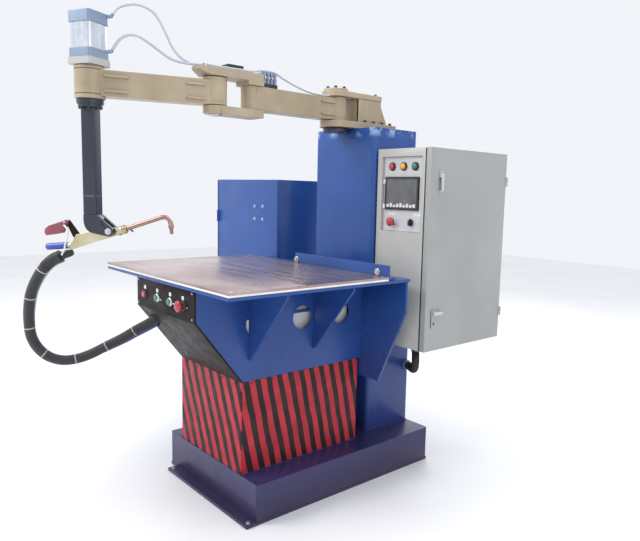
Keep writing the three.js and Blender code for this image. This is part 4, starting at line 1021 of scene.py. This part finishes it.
# ---------------------------------------------------------------- cylinder head and ram
def head():
    sleeve = lathe("mount_sleeve", [(34, 1433.4), (39.6, 1433.4), (39.6, 1541), (34, 1541)], HEAD_AT, 56)
    settle(sleeve, "head", "cream", ("cylinder_mount",))
    flange = plate("mount_flange", rounded(-48.5, 48.5, -48.5, 48.5, 9), 1539, 1560.7, CYL, [ring(0, 0, 14, 32)])
    settle(flange, "head", "cream", bevel=2.2)
    collar = [(33, 1417), (41.5, 1417), (43, 1418.5), (43, 1431), (41.5, 1432.7), (33, 1432.7)]
    settle(lathe("collar_ring", collar, GUN_UP, 56), "head", "ram", ("guide_collar",))
    guide = plate("collar_guide", ring(0, 0, 38.5, 40), 1406, 1432, GUN_UP, [rounded(-23.6, 23.6, -23.6, 23.6, 3)])
    settle(guide, "head", "ram", bevel=1.2)
    under = GUN_UP @ Matrix.Rotation(math.pi, 4, "X")
    bolts("collar_bolt", arc(0, 0, 33.5, 22.5, 337.5, 7), under, "head", 4, 4.5, -1406.5, "ram")
    for name, low, high in (("lower", 1561.3, 1590), ("top", 1670, 1707)):
        cap = plate(f"cylinder_cap_{name}", rounded(-45, 45, -45, 45, 10), low, high, CYL,
                    [ring(0, 0, 13, 32)] if name == "lower" else ())
        settle(cap, "head", "cap", (f"cylinder_{name}_cap",), bevel=2.0)
    quarter = [(42, -26), (40, -25), (40, -20), (42, -19), (42, -3), (41, -2), (41, 2), (42, 3), (42, 19), (40, 20),
               (40, 25), (42, 26)] + arc(29, 29, 13, 4, 86, 6)
    profile = []
    for turn in range(4):
        c, n = round(math.cos(turn * math.pi / 2)), round(math.sin(turn * math.pi / 2))
        profile += [(c * a - n * b, n * a + c * b) for a, b in quarter]
    barrel = plate("barrel_tube", profile, 1589.6, 1670.4, CYL)
    settle(barrel, "head", "barrel", ("cylinder_barrel",), bevel=0.3, segments=1)
    tie = [(3, 1706.4), (5.6, 1706.8), (6.4, 1706.6), (6.8, 1705)]
    for i, at in enumerate(((-36, -36), (36, -36), (36, 36), (-36, 36))):
        settle(lathe(f"tie_head_{i}", tie, CYL, 24, at), "head", "steel")
    for name, points in (("upper", AIR_HOSE_UPPER), ("lower", AIR_HOSE_LOWER)):
        start, nxt = Vector(points[0]), Vector(points[1])
        inner = Vector((HEAD[0], HEAD[1], start.z - 10))
        root = start + (inner - start).normalized() * 13
        fit = [root, root.lerp(start, 0.55), start, start.lerp(nxt, 0.28)]
        settle(tube(f"hose_fitting_{name}", fit, 6.2, 20, radii=[6.2, 6.4, 6.2, 5.4]), "head", "cap")


def ram():
    dress("piston_rod", "steel", 1.0)
    bar = plate("ram_tube", rounded(-23, 23, -23, 23, 5, 6), 1056, 1500, GUN_UP, [rounded(-19, 19, -19, 19, 2, 3)])
    settle(bar, "ram", "ram", ("ram_bar",), bevel=0.5)
    for i, mark in enumerate(((-18, 18, -23.35, -22.9), (22.9, 23.35, -18, 18), (-18, 18, 22.9, 23.35))):
        block_piece(f"ram_mark_{i}", (*mark, 1116.2, 1117.6), "ram", "cap", 0.15, GUN_UP)
    # the foot sweeps forward from the bar to the gun's pivot
    s, z = GUN_PIN
    shape = [(-23, 1055.7), (-23, 1040)]
    p0, p1, p2, p3 = (-23, 1040), (-23, 1016), (-14, 1000), (6, 994)
    for k in range(1, 13):
        t = k / 12
        shape.append(tuple((1 - t) ** 3 * a + 3 * t * (1 - t) ** 2 * b + 3 * t * t * (1 - t) * c + t ** 3 * d
                           for a, b, c, d in zip(p0, p1, p2, p3)))
    shape += [(s - 4, z - 17)] + arc(s, z, 17, -90, 60, 18) + [(29, 1052), (23, 1055.7)]
    for name, low, high in (("near", 9.2, 23), ("far", -23, -9.2)):
        cheek = plate(f"foot_cheek_{name}", shape, low, high, GUN, [ring(s, z, 6.6, 28)])
        settle(cheek, "ram", "ram", ("ram_foot",) if name == "near" else (), bevel=2.2)
    crown = [(-22.5, 1055.5), (-22.5, 1040), (-19, 1021), (10, 1030.5), (29, 1036), (38, 1041), (29, 1051.6),
             (23, 1055.5)]
    settle(plate("foot_crown", crown, -9.6, 9.6, GUN), "ram", "ram", bevel=0.8)
    washer = [(6.4, 0), (11, 0), (11.4, 0.5), (11, 1.6), (6.4, 1.6)]
    clip = [(0, 3.9), (5.6, 3.9), (6, 3.4), (6, 0.5)]
    for name, place, at in (("near", GUN, (s, z)), ("far", GUN_BACK, (-s, z))):
        settle(lathe(f"pivot_washer_{name}", lifted(washer, 22.9), place, 40, at), "ram", "steel")
        settle(lathe(f"pivot_clip_{name}", lifted(clip, 22.9), place, 32, at), "gun", "steel")


# ---------------------------------------------------------------- welding gun
def gun():
    outline = [gun_point(u, v) for u, v in ((-171, -17), (21, -19), (21, 8), (-81, 23), (-124, 26))]
    settle(plate("gun_bar", outline, -8, 8, GUN), "gun", "zinc", ("gun_plate",), bevel=1.4)
    settle(drum("gun_pivot_pin", 6, -26.5, 26.5, GUN, GUN_PIN, 0.6, 32), "gun", "steel")

    def plane(points):
        return [Vector((s, z, 0)) for s, z in points]

    def along(u, v):
        return Vector((*gun_point(u, v), 0))

    ferrule = plane([(-80, 924.2), (-88, 921.5), (-104, 916), (-117, 911.5)])
    settle(tube("cable_lug", ferrule, 13, 28, GUN, radii=[10.4, 12.6, 13, 13]), "gun", "rubber")
    clamp = [along(u, -8) for u in (21.5, 22.5, 29, 30, 46, 47, 51, 57)]
    settle(tube("clamp_body", clamp, 15, 40, GUN, radii=[14.2, 15, 15, 14.4, 14.4, 15, 15, 10.6]), "gun", "brass",
           ("electrode_clamp",))
    hex_bolt("clamp_screw", gun_point(38, -8), GUN, "gun", 4, 3.0, 13.4, "steel", socket=True)
    straight = [along(u, v) for u, v in ((30, -8), (80, -8.4), (130, -8.8), (172, -9), (188, -10))]
    path = spline_points(straight + plane([(261, 1052), (272, 1041), (276.4, 1026)]), 60)
    settle(tube("electrode_tube", path, 7.5, 28, GUN), "gun", "copper_tube", ("electrode_arm",))
    tip = plane([(275.4, 1031), (275.6, 1029), (276.4, 1018), (276.6, 1016), (277.4, 1006), (277.9, 1000.5),
                 (278, 998.2)])
    settle(tube("electrode_tip", tip, 6, 32, GUN, radii=[7.6, 8.6, 8.6, 6.0, 6.0, 5.4, 3.4]), "gun", "copper_tube")
    elbow_fit = [along(68, -14), along(70, -20), along(74, -24)]
    settle(tube("water_nipple", elbow_fit, 3.2, 16, GUN, radii=[3.6, 3.2, 3.0]), "gun", "blue_rubber")

    side = [(-111, 1034), (-91, 1033), (-58, 990), (-44, 968), (-62, 955), (-83, 980)]
    cheek = plate("switch_cheek", side, -12.5, -8.3, GUN)
    settle(cheek, "gun", "black", ("switch_bracket",), bevel=1.2)
    settle(drum("switch_pin", 3.5, -9, 10, GUN, (-101, 1027), 0.6, 24), "gun", "steel")
    grip = spline_points([(-172, 940, 0), (-132, 944, 0), (-92, 948, 0)], 24)
    radii = [10.2, 11.6] + [12.0 - 1.1 * (k % 2) for k in range(21)] + [11.4, 10.0]
    settle(tube("grip_sleeve", grip, 12, 28, GUN, radii=radii), "gun", "blue_rubber", ("gun_grip",))
    settle(tube("grip_shank", plane([(-94, 947.8), (-86, 949.2), (-79, 950.6)]), 7.5, 24, GUN), "gun", "steel")
    settle(tube("grip_band", plane([(-92.5, 948), (-89, 948.4)]), 9, 24, GUN), "gun", "label")

    paddle = ([(-172, 979), (-140, 983.5), (-108, 990), (-92, 1022)] + arc(-99, 1027, 6.5, -10, 100, 8)
              + [(-130, 1023), (-161, 1013), (-175, 1002), (-177, 990)])
    lever = plate("trigger_paddle", paddle, -7, 7, GUN)
    settle(lever, "trigger", "trigger_red", ("trigger",), bevel=2.4)
    lead = [(-101, 1016, 10.5), (-90, 1008, 15), (-85, 992, 16), (-88, 972, 15.5), (-95, 952, 15.6), (-99, 932, 17),
            (-108, 915, 17.5)]
    settle(tube("trigger_pigtail", spline_points(lead, 40), 2.8, 12, GUN), "gun", "label")


camera_and_light()
cables()
base_and_pedestal()
console()
table()
column_and_housing()
cabinet()
cabinet_door()
conduit()
transformer()
arm_base()
link_one()
link_two()
head()
ram()
gun()
